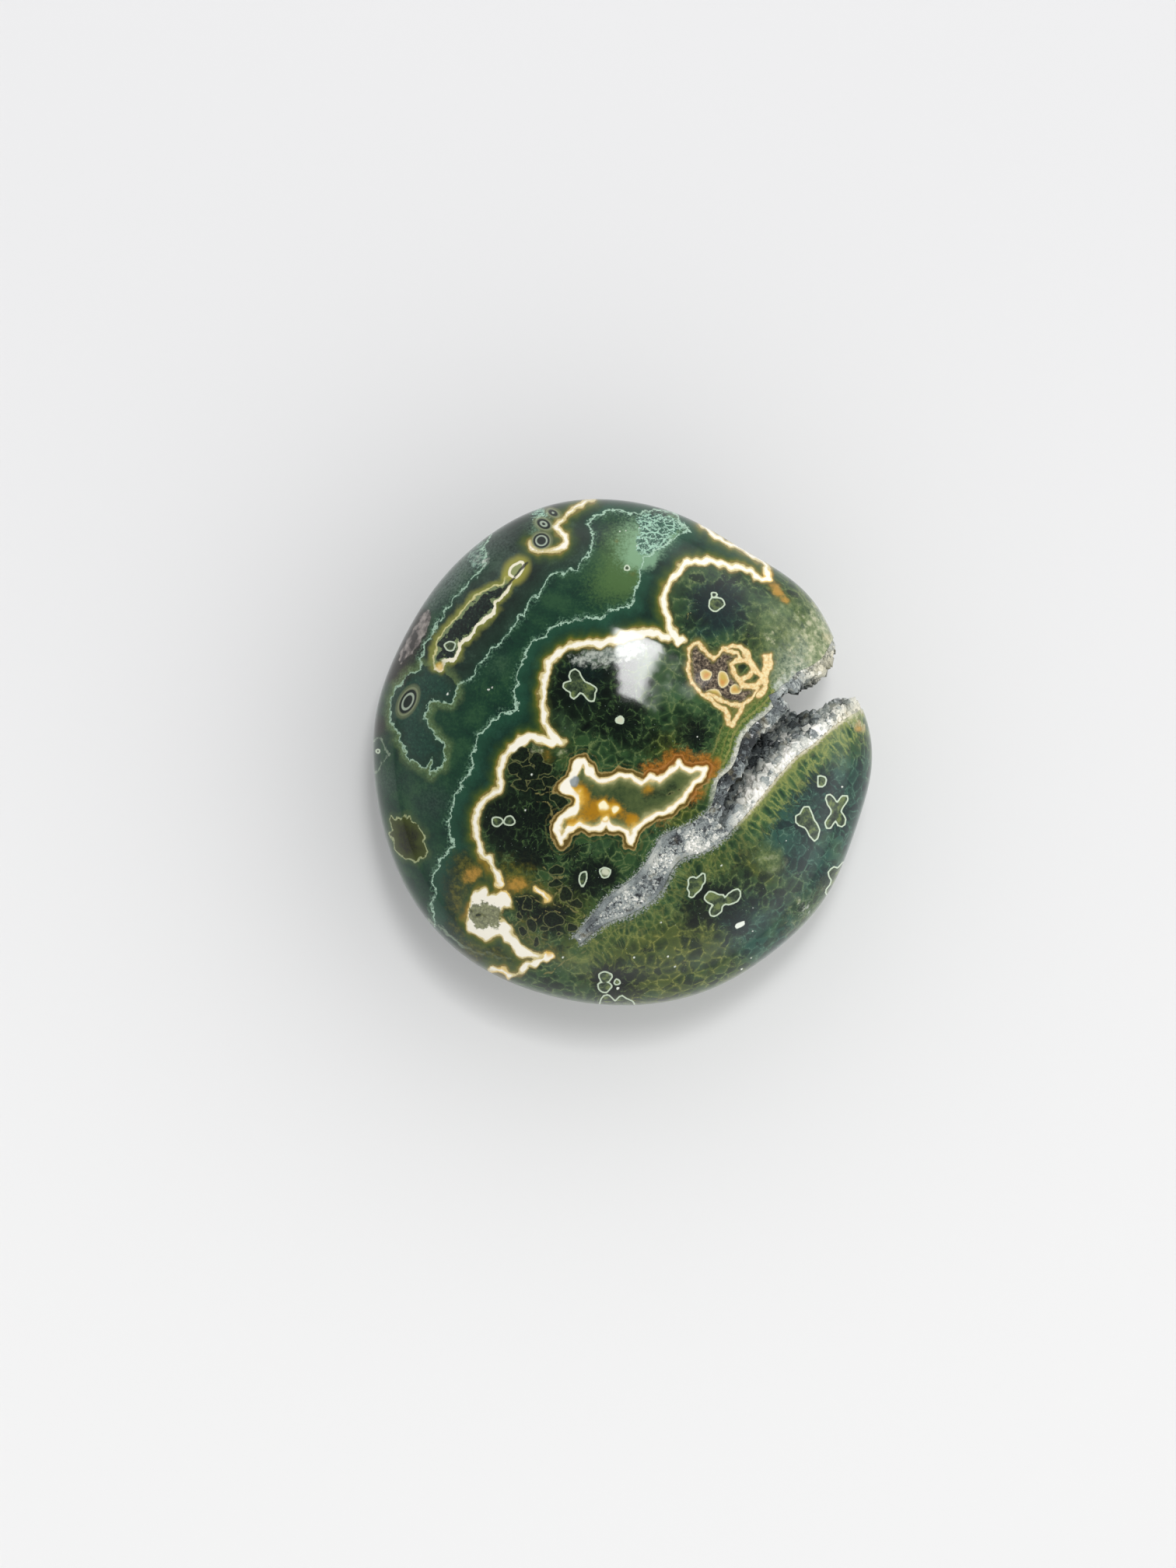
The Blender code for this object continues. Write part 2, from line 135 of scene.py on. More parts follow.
MOSS_EDGE = [
    (-4.5, 32.2), (-3.5, 32.8), (-2.8, 33.1), (-2.0, 33.7), (0.0, 33.5), (1.5, 33.2), (3.5, 33.6), (6.0, 33.8),
    (7.0, 33.4), (7.7, 33.0), (8.0, 32.0), (8.6, 31.3), (9.2, 30.7), (7.8, 30.3), (7.0, 29.5), (6.3, 29.0),
    (5.5, 28.2), (4.5, 27.8), (4.0, 27.2), (3.0, 27.0), (3.0, 26.2), (2.6, 25.4), (2.3, 24.8), (2.5, 23.8),
    (2.2, 22.8), (1.6, 22.4), (1.6, 21.4), (1.4, 20.4), (0.8, 20.1), (0.0, 19.8), (-1.5, 19.6), (-2.4, 19.0),
    (-2.8, 18.3), (-4.0, 18.4), (-5.0, 18.5), (-5.5, 18.1), (-6.4, 18.3), (-7.0, 17.9), (-8.7, 17.7),
    (-9.0, 17.3), (-10.0, 17.0), (-10.7, 16.2), (-11.0, 15.7), (-12.0, 15.3), (-12.4, 15.2),
]
THREAD_INNER = [
    (-13.2, 14.0), (-13.5, 13.0), (-14.0, 12.2), (-14.4, 11.2), (-14.9, 10.2), (-14.4, 9.2), (-15.2, 8.3),
    (-14.8, 7.3), (-14.4, 6.0), (-14.8, 5.6), (-15.8, 5.2), (-16.8, 5.3), (-17.4, 4.5), (-18.4, 4.0),
    (-18.9, 3.2), (-19.4, 2.5), (-20.2, 2.2), (-20.1, 1.5), (-20.4, 0.5), (-20.8, -0.6), (-20.9, -1.8),
    (-21.3, -2.8), (-21.2, -3.4), (-21.9, -4.1), (-22.4, -4.3), (-22.2, -5.0), (-22.8, -5.8), (-23.3, -6.3),
    (-23.6, -7.3), (-23.8, -8.3), (-23.8, -9.2), (-24.4, -9.8), (-24.0, -10.5), (-24.1, -11.2), (-23.8, -12.0),
    (-23.5, -12.8), (-23.7, -13.5), (-24.3, -13.9), (-24.7, -14.7), (-25.5, -15.2), (-25.6, -16.0),
    (-26.2, -16.9), (-26.4, -18.3), (-26.0, -19.3), (-26.5, -21.3), (-26.6, -22.2), (-26.2, -24.0),
]
THREAD_LOW = [
    (-28.0, -23.5), (-26.0, -24.3), (-24.0, -25.9), (-22.3, -27.2), (-20.3, -28.2), (-19.0, -28.2),
    (-17.0, -28.8), (-15.5, -29.0),
]
EDGE_THREAD = [
    (-36.0, 1.0), (-34.8, 1.4), (-34.3, 1.8), (-33.8, 1.5), (-33.3, 0.8), (-32.9, 0.0), (-32.6, -0.6),
    (-33.5, -1.5), (-34.4, -2.9), (-36.0, -3.5),
]

# White ribbons around the jasper, with the agate on their outer side
RIBBON_TOP = [
    (20.5, 24.0), (19.5, 24.0), (18.8, 24.2), (18.0, 25.0), (17.0, 25.5), (16.3, 25.8), (15.3, 25.5),
    (14.3, 25.9), (13.3, 26.3), (12.0, 26.6), (10.5, 26.3), (9.2, 26.4), (8.3, 25.8), (7.8, 24.8), (7.0, 24.0),
    (6.3, 23.2), (5.9, 22.0), (5.6, 20.8), (5.9, 19.6), (6.3, 18.3), (6.6, 17.0), (7.0, 16.0), (7.6, 15.3),
]
RIBBON_MIDDLE = [
    (6.3, 15.6), (4.5, 16.3), (3.0, 16.4), (1.5, 16.2), (0.5, 16.0), (-1.0, 15.3), (-3.0, 14.9), (-5.0, 14.9),
    (-7.0, 14.6), (-8.5, 13.9), (-9.5, 13.0), (-10.3, 12.2), (-10.4, 11.0), (-10.9, 9.8), (-11.0, 8.3),
    (-11.1, 7.0), (-11.0, 5.5), (-10.8, 4.0), (-10.3, 2.8), (-9.5, 2.0), (-8.5, 1.2),
]
RIBBON_LEFT = [
    (-10.0, 1.3), (-12.0, 1.8), (-13.0, 1.9), (-13.8, 1.6), (-14.5, 0.9), (-15.5, 0.2), (-16.2, -0.5),
    (-16.7, -1.5), (-17.0, -2.8), (-17.0, -4.0), (-16.9, -4.8), (-17.0, -5.4), (-18.5, -6.2), (-19.4, -7.0),
    (-20.0, -8.0), (-20.4, -9.2), (-20.4, -10.5), (-20.3, -12.0), (-19.9, -12.8), (-19.7, -13.8),
    (-19.3, -14.6), (-18.5, -14.9), (-18.2, -15.6), (-17.8, -16.6), (-17.2, -17.5), (-16.9, -18.5),
]

# White mass around the small cavity
MASS = [
    (-19.7, -19.0), (-19.0, -19.0), (-18.6, -19.7), (-17.4, -20.0), (-16.5, -19.6), (-16.1, -18.8),
    (-15.6, -20.5), (-15.1, -22.0), (-15.5, -22.2), (-16.3, -21.7), (-16.7, -22.2), (-16.9, -23.0),
    (-16.5, -23.6), (-15.5, -23.9), (-15.3, -24.7), (-14.6, -26.0), (-13.4, -27.2), (-12.5, -27.9),
    (-11.4, -28.1), (-10.5, -27.7), (-9.9, -28.3), (-10.5, -28.9), (-11.8, -29.0), (-13.1, -29.1),
    (-14.4, -28.6), (-15.3, -27.8), (-16.1, -26.8), (-16.7, -25.9), (-17.5, -25.8), (-18.6, -26.3),
    (-19.9, -26.1), (-20.9, -25.4), (-21.5, -24.3), (-21.8, -23.0), (-21.4, -21.5), (-20.7, -20.1),
]
RIBBON_LOW = [
    (-9.9, -28.3), (-11.4, -29.2), (-12.5, -29.6), (-13.3, -29.7), (-13.8, -30.4), (-14.6, -31.0),
    (-15.5, -31.5), (-16.2, -31.3), (-16.7, -30.7), (-17.5, -30.6), (-18.3, -30.4),
]
RIBBON_RIM = [
    (11.0, 32.2), (12.0, 31.0), (13.0, 30.2), (14.0, 29.5), (15.3, 29.0), (16.5, 28.5), (17.5, 28.0),
    (18.5, 27.2), (19.5, 26.8), (20.3, 26.4), (20.1, 25.0), (20.3, 24.3),
]
RIBBON_BRANCH = [(7.6, 15.3), (8.2, 15.5)]
SPIKE = [(-12.2, -19.1), (-11.4, -19.7), (-10.6, -20.2), (-10.4, -20.8)]

# Closed figures
FLAME = [
    (-5.6, -1.3), (-4.9, -1.9), (-4.6, -2.7), (-4.2, -3.5), (-3.4, -4.0), (-2.4, -4.1), (-1.4, -3.8),
    (-0.4, -3.3), (0.5, -3.4), (1.3, -3.7), (2.0, -4.1), (2.7, -4.3), (3.3, -4.1), (3.9, -3.4), (4.4, -4.0),
    (5.0, -4.1), (5.5, -3.6), (6.2, -3.0), (7.0, -2.6), (7.4, -2.0), (7.7, -1.5), (8.0, -2.1), (8.8, -2.5),
    (9.7, -2.7), (10.8, -2.5), (11.5, -2.4), (11.3, -3.0), (10.8, -3.8), (10.2, -4.3), (9.6, -4.7), (9.3, -5.3),
    (8.9, -6.0), (8.2, -6.8), (7.2, -7.6), (6.4, -8.3), (5.2, -8.7), (4.0, -9.0), (3.2, -9.7), (2.4, -10.3),
    (1.7, -10.9), (1.3, -11.9), (1.1, -12.8), (0.7, -11.2), (-0.5, -10.8), (-1.6, -10.6), (-2.3, -9.6),
    (-3.0, -10.6), (-4.0, -10.9), (-5.0, -10.6), (-5.8, -10.2), (-6.8, -10.6), (-7.8, -11.2), (-8.5, -12.8),
    (-9.2, -11.0), (-9.0, -10.0), (-8.4, -9.2), (-7.4, -8.6), (-6.6, -8.0), (-6.2, -7.2), (-6.3, -6.3),
    (-7.0, -5.7), (-8.6, -5.2), (-7.8, -4.4), (-7.0, -4.0), (-6.6, -2.6), (-6.4, -1.8),
]
CAPSULE = [
    (-16.0, 24.2), (-16.5, 23.0), (-18.0, 22.7), (-19.5, 22.0), (-20.7, 21.2), (-21.5, 20.2), (-22.3, 19.4),
    (-22.8, 18.6), (-23.7, 17.8), (-24.7, 16.7), (-25.7, 15.4), (-26.0, 14.0), (-26.2, 12.6), (-26.0, 11.6),
    (-25.4, 11.3), (-25.0, 12.4), (-24.0, 12.8), (-23.2, 13.1), (-22.9, 14.0), (-22.8, 15.2), (-21.8, 15.5),
    (-21.0, 16.2), (-20.5, 17.2), (-19.5, 18.0), (-18.6, 18.8), (-17.8, 19.8), (-17.8, 20.9), (-17.0, 21.4),
    (-16.2, 22.3), (-15.8, 23.2), (-15.4, 24.2),
]
BLOB = [
    (-32.3, -9.0), (-31.6, -9.5), (-31.4, -9.0), (-31.0, -9.6), (-30.3, -8.8), (-30.0, -9.5), (-29.5, -9.1),
    (-29.2, -9.8), (-28.6, -10.1), (-28.2, -10.8), (-27.6, -11.3), (-27.5, -12.0), (-27.9, -12.6),
    (-27.5, -13.2), (-27.2, -14.0), (-27.4, -14.8), (-28.1, -14.6), (-28.8, -15.6), (-29.2, -15.2),
    (-30.0, -15.2), (-31.1, -14.6), (-31.7, -13.9), (-32.0, -13.0), (-32.2, -12.0), (-32.5, -11.4),
    (-32.1, -11.0), (-32.4, -10.0),
]
WINDOW = [
    (9.1, 14.2), (10.5, 15.0), (11.1, 14.2), (11.7, 13.4), (12.5, 12.8), (13.2, 13.4), (13.9, 14.1),
    (14.6, 13.8), (16.0, 13.4), (16.6, 12.9), (15.4, 12.5), (15.0, 12.0), (15.2, 11.2), (15.6, 10.5),
    (15.8, 9.9), (16.5, 8.9), (17.5, 8.8), (18.6, 9.0), (18.9, 8.7), (17.7, 7.2), (16.6, 6.3), (14.6, 6.5),
    (12.8, 7.5), (11.0, 7.9), (9.7, 9.2), (9.1, 11.1), (9.2, 13.0),
]
# Cream web beside the window
WINDOW_WEB = [
    [(13.9, 14.1), (15.0, 14.5), (16.0, 14.5), (16.8, 14.1), (17.2, 13.6), (17.3, 13.0), (17.9, 12.0),
     (18.6, 10.9), (19.5, 10.1), (19.2, 9.6), (18.6, 9.1), (17.5, 8.9), (16.8, 9.2), (16.0, 9.9), (15.4, 10.7),
     (15.2, 11.6), (15.0, 12.0), (15.7, 12.6), (16.6, 12.6), (17.3, 12.4)],
    [(19.5, 10.1), (19.7, 11.0), (19.9, 12.1), (19.7, 13.1), (20.6, 13.3), (20.5, 12.1), (20.4, 11.4),
     (19.9, 10.5), (19.9, 9.6), (19.7, 8.7), (18.9, 7.6)],
    [(16.0, 9.9), (16.8, 10.1), (17.5, 10.3), (17.9, 11.0)],
    [(16.6, 6.3), (16.0, 5.0), (15.3, 3.5), (14.6, 3.9), (14.4, 5.3), (13.2, 6.3), (11.5, 7.6)],
]
CROSS_EYE = [
    (-7.5, 10.3), (-7.3, 11.0), (-6.6, 11.4), (-6.0, 11.0), (-5.7, 10.3), (-5.2, 9.6), (-4.5, 9.3), (-3.7, 8.8),
    (-3.5, 8.4), (-3.8, 8.0), (-3.8, 7.4), (-4.0, 6.8), (-4.6, 6.8), (-5.0, 7.2), (-5.5, 7.8), (-5.9, 8.0),
    (-6.3, 7.5), (-6.8, 7.1), (-7.3, 7.5), (-7.3, 8.1), (-7.8, 8.3), (-8.3, 8.8), (-8.2, 9.4), (-7.7, 9.6),
    (-7.2, 9.7),
]
SQUARE_EYE = [(27.1, -3.5), (27.5, -3.4), (28.2, -3.6), (28.4, -4.0), (28.2, -4.7), (27.8, -5.0), (27.1, -5.0)]
X_EYE = [
    (28.2, -6.6), (28.4, -6.1), (28.9, -6.0), (29.4, -6.4), (29.9, -7.1), (30.3, -6.5), (30.6, -6.2),
    (31.4, -6.2), (31.5, -6.8), (31.2, -7.3), (30.8, -7.8), (30.5, -8.4), (30.9, -8.9), (31.2, -9.5),
    (31.1, -10.3), (30.6, -10.6), (30.0, -10.4), (29.7, -9.8), (29.4, -10.2), (29.0, -10.8), (28.4, -10.8),
    (28.1, -10.0), (28.5, -9.3), (29.0, -8.7), (29.0, -8.2), (28.5, -7.5),
]
HEART_EYE = [
    (24.0, -9.0), (24.6, -8.7), (24.9, -8.1), (25.2, -7.7), (25.9, -7.7), (26.2, -8.3), (26.5, -9.0),
    (26.7, -9.6), (27.1, -10.1), (27.5, -11.0), (27.2, -12.2), (26.7, -12.6), (26.0, -11.9), (25.6, -11.1),
    (25.3, -10.7), (24.5, -10.4), (24.0, -9.9),
]
BONE_EYE = [
    (9.0, -17.9), (9.3, -17.5), (9.8, -17.4), (10.2, -17.6), (10.7, -17.2), (11.0, -16.9), (11.4, -17.0),
    (11.5, -17.8), (11.4, -18.3), (11.1, -18.6), (10.9, -19.2), (10.5, -19.6), (10.1, -19.9), (9.9, -20.3),
    (9.5, -20.4), (9.1, -20.2), (9.2, -19.6), (8.9, -19.1), (9.1, -18.5),
]
TREFOIL_EYE = [
    (11.3, -20.2), (12.0, -19.4), (12.8, -19.6), (13.3, -19.9), (14.0, -19.9), (14.2, -20.3), (14.6, -19.8),
    (15.3, -19.3), (16.0, -19.1), (16.4, -19.5), (16.4, -20.2), (16.0, -20.9), (15.4, -21.2), (14.7, -21.4),
    (14.2, -21.3), (13.9, -21.6), (13.8, -22.3), (13.2, -22.8), (12.7, -23.0), (12.2, -22.9), (12.0, -22.4),
    (12.1, -21.9), (12.5, -21.4), (11.7, -21.0), (11.3, -20.6),
]
WHITE_SQUARE = [
    (15.6, -24.4), (15.8, -24.0), (16.6, -23.7), (17.0, -23.6), (17.0, -24.2), (16.5, -24.5), (15.8, -24.8),
]
EDGE_EYE = [
    (32.5, -15.0), (30.8, -15.6), (30.1, -16.3), (29.6, -16.1), (29.1, -16.4), (28.7, -16.9), (28.8, -17.5),
    (29.2, -18.1), (29.0, -18.7), (28.5, -19.3), (28.4, -19.8), (28.6, -20.1), (31.0, -21.0),
]
RIM_TREFOIL = [
    (-3.6, -36.5), (-3.0, -34.6), (-2.6, -34.1), (-1.9, -34.0), (-1.4, -34.5), (-1.0, -34.9), (-0.5, -34.3),
    (0.0, -34.1), (0.5, -34.5), (1.4, -34.9), (1.7, -35.3), (2.0, -36.5),
]

# Round and oval eyes with pale outlines: centre x, y, half length, half width, turn in degrees
OVAL_EYES = [
    (13.0, 20.4, 1.15, 1.0, 20.0), (12.7, 21.7, 0.45, 0.4, 0.0), (-0.4, 4.25, 0.6, 0.55, 0.0),
    (-17.4, -9.8, 0.8, 0.7, 0.0), (-15.7, -9.7, 0.8, 0.7, 0.0), (-5.5, -17.7, 1.1, 0.55, 80.0),
    (-2.45, -16.85, 0.8, 0.75, 0.0), (-2.4, -31.5, 0.95, 0.85, 0.0), (-2.5, -32.9, 1.0, 0.8, 0.0),
    (-0.75, -32.2, 0.45, 0.45, 0.0), (-24.0, 14.6, 0.8, 0.7, 0.0), (0.6, 25.4, 0.4, 0.4, 0.0),
    (-34.2, 0.0, 0.35, 0.3, 0.0),
]
# Dark eyes with pale rings around them
RINGED_EYES = [
    (-11.0, 31.7, 1.15, 0.75, 150.0), (-11.3, 29.3, 1.25, 1.15, 0.0), (-9.7, 33.3, 0.9, 0.5, 150.0),
    (-29.9, 6.9, 2.0, 1.1, 62.0),
]
# Beige nodules in the druse window
NODULES = [
    (11.5, 10.5, 0.77, 0.73, 0.0), (13.9, 9.9, 1.13, 0.73, 95.0), (15.6, 8.5, 0.77, 0.66, 0.0),
    (12.6, 7.9, 1.06, 0.58, 170.0), (16.8, 9.6, 0.62, 0.47, 10.0),
]

# Middles of the jasper's flowers: x, y, radius of the dark heart
FLOWERS = [
    (-5.8, 9.3, 4.6), (-0.4, 4.2, 2.6), (13.0, 20.2, 4.6), (10.3, 1.95, 1.7), (-12.6, -3.3, 3.3),
    (-16.6, -9.8, 3.4), (-5.5, -17.7, 2.4), (-2.4, -16.9, 2.4), (-9.8, -22.8, 2.9), (-13.6, -21.2, 2.1),
    (27.7, -4.2, 2.4), (29.9, -8.3, 2.9), (25.5, -10.0, 2.6), (10.2, -18.8, 2.7), (14.0, -21.0, 3.1),
    (16.3, -24.2, 2.4), (28.9, -18.3, 2.4), (-2.0, -32.2, 3.1), (-12.5, -9.5, 2.2), (-12.8, -14.8, 2.3),
    (-7.0, -14.0, 1.8), (19.0, -12.0, 0.2), (22.6, -17.0, 0.2), (18.6, -19.2, 0.2), (24.5, -4.6, 2.2),
    (8.6, -29.5, 0.2), (15.4, -29.6, 0.2), (3.2, -27.6, 0.2), (23.0, -24.5, 0.2), (31.5, 0.2, 0.2),
    (8.2, 7.0, 0.2), (6.0, 1.5, 0.2), (17.5, 16.0, 0.2), (23.0, 15.0, 0.2), (24.5, 19.0, 0.2), (17.5, 4.0, 0.2),
    (-4.0, 2.0, 0.2), (5.0, -13.0, 0.2), (-8.5, -27.5, 0.2), (19.0, -27.0, 0.2),
]

# Soft spots: x, y, radius, strength
GOLD_SPOTS = [
    (-2.7, -7.6, 1.3, 1.0), (-1.0, -8.1, 1.2, 1.0), (-6.0, -5.9, 1.6, 1.2), (-6.9, -10.0, 1.3, 0.9),
    (1.2, -9.6, 1.3, 0.9), (-4.5, -8.8, 1.5, 0.8), (3.5, -5.4, 1.2, 0.7), (-21.3, -17.4, 1.5, 0.9),
    (-19.9, -16.4, 1.3, 0.6), (-15.6, -18.6, 1.7, 1.0), (-13.6, -18.4, 1.2, 0.7), (-11.8, -18.9, 0.8, 0.7),
    (-17.1, -31.3, 1.2, 0.8), (20.4, 24.3, 0.8, 0.9), (21.0, 23.2, 1.0, 1.0), (21.9, 22.0, 0.9, 0.9),
    (22.8, 21.0, 0.7, 0.9), (14.6, 5.2, 1.0, 0.9), (12.8, -1.5, 1.4, 0.9), (-10.4, -20.4, 1.2, 0.8),
    (-9.8, -28.0, 1.5, 0.6), (-10.5, -0.6, 1.4, 0.7), (10.6, -5.6, 1.6, 0.6), (-0.9, 29.2, 0.5, 0.6),
    (1.4, 24.6, 0.5, 0.6), (-22.5, -22.0, 1.4, 0.6), (33.0, 3.1, 0.7, 0.9),
]
GLOW_SPOTS = [
    (-2.7, -7.6, 0.75, 1.1), (-1.0, -8.1, 0.7, 1.1), (-2.4, -9.5, 0.6, 1.0), (-25.5, 11.7, 0.7, 0.6),
    (-10.2, -28.2, 0.5, 0.5), (-6.0, -5.6, 0.8, 0.6),
]
RUST_SPOTS = [
    (9.5, -1.4, 2.0, 1.0), (6.2, -1.4, 2.2, 0.9), (12.0, -2.2, 1.6, 1.0), (10.0, -6.0, 1.7, 0.6),
    (3.8, -2.6, 1.6, 0.7), (33.0, 3.1, 0.8, 1.0), (5.5, -10.2, 2.0, 0.3),
]
OLIVE_SPOTS = [
    (-9.5, -21.5, 3.6, 0.7), (-12.5, -15.2, 2.2, 0.4), (20.3, -15.4, 2.2, 1.2), (5.6, 0.8, 2.8, 0.9),
    (9.4, -13.2, 2.0, 0.5), (5.5, -28.5, 7.5, 1.0), (-4.0, -27.5, 4.5, 0.8), (12.5, -26.5, 4.0, 0.7),
    (13.0, -15.0, 3.5, 0.9), (20.0, -15.5, 2.8, 1.0), (19.0, 14.0, 4.5, 0.8), (23.5, 19.5, 4.0, 0.7),
    (19.5, 6.0, 2.6, 0.8), (24.0, -21.5, 4.0, 0.5), (32.0, 4.0, 2.4, 1.0), (8.5, -9.0, 3.5, 0.7),
    (-6.5, -20.5, 3.0, 0.5), (17.5, -32.0, 4.0, 0.6), (-14.0, -26.5, 2.4, 0.7), (3.0, -33.0, 5.0, 0.7),
    (-7.5, -0.6, 2.4, 0.5),
]
PALE_SPOTS = [
    (26.5, 18.0, 2.4, 0.5), (25.0, 15.0, 2.4, 0.45), (27.8, 20.5, 1.5, 0.5), (29.0, 16.0, 1.6, 0.8),
    (28.2, 14.2, 2.2, 1.0), (29.6, 12.0, 1.8, 1.1), (27.2, 17.6, 2.2, 0.45), (26.4, 12.6, 1.6, 0.7),
    (32.8, 6.2, 1.8, 0.9), (31.6, 4.6, 1.6, 0.6), (22.8, 16.5, 0.9, 0.6), (20.5, 15.8, 0.9, 0.6),
    (24.0, -22.6, 1.8, 0.5), (-10.6, 1.2, 1.7, 0.9), (-8.0, 0.6, 1.1, 0.6),
]
MINT_SPOTS = [
    (3.3, 27.0, 2.0, 0.9), (0.6, 26.6, 2.4, 0.6), (7.0, 31.6, 1.8, 1.0), (3.0, 29.0, 3.0, 0.9),
    (5.4, 30.2, 2.2, 1.0), (1.0, 32.0, 2.6, 0.6), (-1.5, 29.0, 2.6, 0.4), (2.6, 26.6, 1.6, 0.6),
    (-20.4, 26.6, 1.6, 0.7), (-2.5, 23.0, 3.0, 0.3), (-11.4, 32.6, 1.8, 0.9), (-12.4, 30.4, 1.2, 0.8),
]
FINE_DOTS = [
    (-0.4, 30.6, 0.15), (0.5, 30.7, 0.15), (2.3, 31.1, 0.15), (3.3, 31.0, 0.15), (2.0, 28.5, 0.15),
    (18.1, -21.8, 0.15), (13.7, -15.9, 0.19), (18.1, -25.1, 0.15), (16.7, -30.5, 0.19), (18.0, -28.9, 0.15),
    (22.7, -12.5, 0.15), (1.6, -28.7, 0.19), (5.3, -23.8, 0.19), (6.3, -28.6, 0.19), (7.3, -30.0, 0.19),
    (30.6, -5.0, 0.19), (-13.5, -8.2, 0.19), (-18.6, 8.5, 0.22), (-18.1, 8.8, 0.19), (-24.3, 7.9, 0.22),
    (10.3, 1.95, 0.15), (-0.65, -33.1, 0.25), (-12.6, -3.3, 0.22), (-8.3, -28.7, 0.19), (-24.0, 8.4, 0.15),
]

# Pale band that runs in from the top edge
EDGE_BAND = [
    (-4.2, 35.2), (-5.5, 34.7), (-6.8, 33.8), (-7.8, 33.0), (-8.6, 32.0), (-9.5, 31.2), (-8.8, 30.7),
    (-8.0, 30.0), (-7.9, 29.0), (-8.3, 28.3), (-9.2, 27.9), (-10.5, 27.8), (-12.0, 27.9), (-12.7, 28.3),
    (-13.0, 29.0),
]
# Ribbons with their half widths
RIBBONS = [
    (0.23, RIBBON_TOP), (0.24, RIBBON_MIDDLE), (0.19, RIBBON_LEFT), (0.13, RIBBON_LOW), (0.14, RIBBON_RIM),
    (0.15, RIBBON_BRANCH), (0.04, SPIKE), (0.07, EDGE_BAND),
]
# Wider places of the ribbons: x, y, radius, share
RIBBON_SWELLS = [
    (-13.5, 1.6, 1.6, 1.2), (-9.8, 0.7, 1.3, 1.2), (2.0, 16.2, 3.0, 0.5), (-21.4, -24.2, 1.4, 1.3),
    (-18.6, -26.0, 1.3, 1.0), (-16.6, -20.2, 1.2, 1.2), (-20.4, -19.6, 1.2, 1.0), (-14.2, -28.4, 1.6, 0.6),
    (8.0, 15.3, 1.2, 0.8), (-3.0, 15.0, 2.0, 0.3), (-8.2, 29.6, 1.2, 0.7), (-9.8, 31.4, 0.7, 0.6),
]
# Wider places of the flame's white core
CORE_SWELLS = [
    (-6.0, -2.2, 0.9, 0.5), (-4.9, -3.0, 0.8, 0.4), (-7.4, -5.0, 1.0, 0.8), (-6.7, -3.6, 0.8, 0.5),
    (-6.6, -8.6, 1.0, 0.5), (-8.2, -10.4, 1.0, 0.4), (-2.4, -9.9, 0.8, 0.6),
]
# Small crystal-filled cavity in the white mass
CAVITY = [
    (-21.1, -22.3), (-20.7, -21.2), (-19.9, -21.5), (-19.5, -20.9), (-18.7, -21.3), (-18.3, -21.9),
    (-17.5, -21.5), (-16.9, -22.2), (-17.0, -23.0), (-17.2, -24.3), (-17.7, -24.7), (-18.6, -24.0),
    (-19.5, -24.9), (-20.3, -24.3), (-21.1, -23.4),
]
# Dark slit that leads from the capsule to its pale head
SLIT = [(-13.2, 26.3), (-14.0, 25.4), (-14.9, 24.4), (-15.6, 23.7), (-16.4, 22.6), (-17.4, 21.6)]
CAPSULE_HEAD = (-14.75, 25.2, 1.25, 0.75, 50.0)
# Grey patch at the left edge
GREY_PATCH = (-28.9, 16.0, 4.2, 0.95, 60.0)
# More soft spots of the agate and the jasper, with painted reflections along the left rim among the brown and grey
# ones
# Dark brown along the left edge: a painted reflection, not the stone's own colour.
LEFT_EDGE_REFLECTION_SPOTS = [
    (-29.6, 15.6, 3.0, 1.0), (-31.6, 11.0, 2.4, 1.0), (-34.2, 3.5, 2.2, 0.8), (-28.2, 19.0, 1.6, 0.6),
]
# Grey spots: the five at the left and upper-left rim are painted sheen of the curving edge; the two further in are
# grey clouding.
GREY_AND_SHEEN_SPOTS = [
    (-24.5, 24.5, 3.4, 0.9), (-21.0, 27.8, 2.4, 0.9), (-27.5, 21.0, 2.2, 0.6), (-26.0, -7.0, 4.0, 0.35),
    (-33.0, -4.0, 3.0, 0.4), (-16.5, 29.5, 3.0, 0.5), (-17.0, 12.0, 3.0, 0.3),
]
TEAL_SPOTS = [
    (26.5, -9.0, 8.5, 1.1), (31.0, -14.0, 7.0, 0.9), (18.0, -25.5, 5.5, 0.9), (13.0, 19.5, 5.0, 1.0),
    (24.0, -27.0, 5.0, 0.6), (8.0, 9.0, 3.0, 0.5), (33.0, -4.0, 4.0, 0.6), (-5.8, 10.0, 4.0, 0.5),
]
MOSS_SPOTS = [
    (1.0, 24.0, 3.2, 0.9), (-3.0, 22.5, 3.5, 0.6), (0.5, 28.5, 4.0, 1.0), (5.5, 29.5, 3.0, 0.6),
    (-18.0, 8.0, 5.0, 0.25), (6.8, 31.8, 1.4, 1.2), (-24.4, 8.0, 0.9, 1.2),
]
LACE_SPOTS = [
    (4.4, 30.2, 1.9, 1.2), (3.2, 28.4, 1.3, 0.9), (5.8, 31.6, 1.5, 1.0), (3.0, 32.4, 1.2, 0.7),
    (7.9, 31.6, 0.9, 0.8), (5.2, 28.9, 0.9, 0.6), (-20.3, 26.9, 1.3, 1.1), (-20.2, 28.6, 1.0, 0.9),
    (-11.6, 33.0, 1.4, 0.9),
]
LENS_SPOTS = [(5.6, -5.4, 1.1, 1.0), (4.4, -5.9, 0.9, 0.8), (3.0, -6.6, 0.8, 0.7), (6.9, -4.8, 0.8, 0.8)]
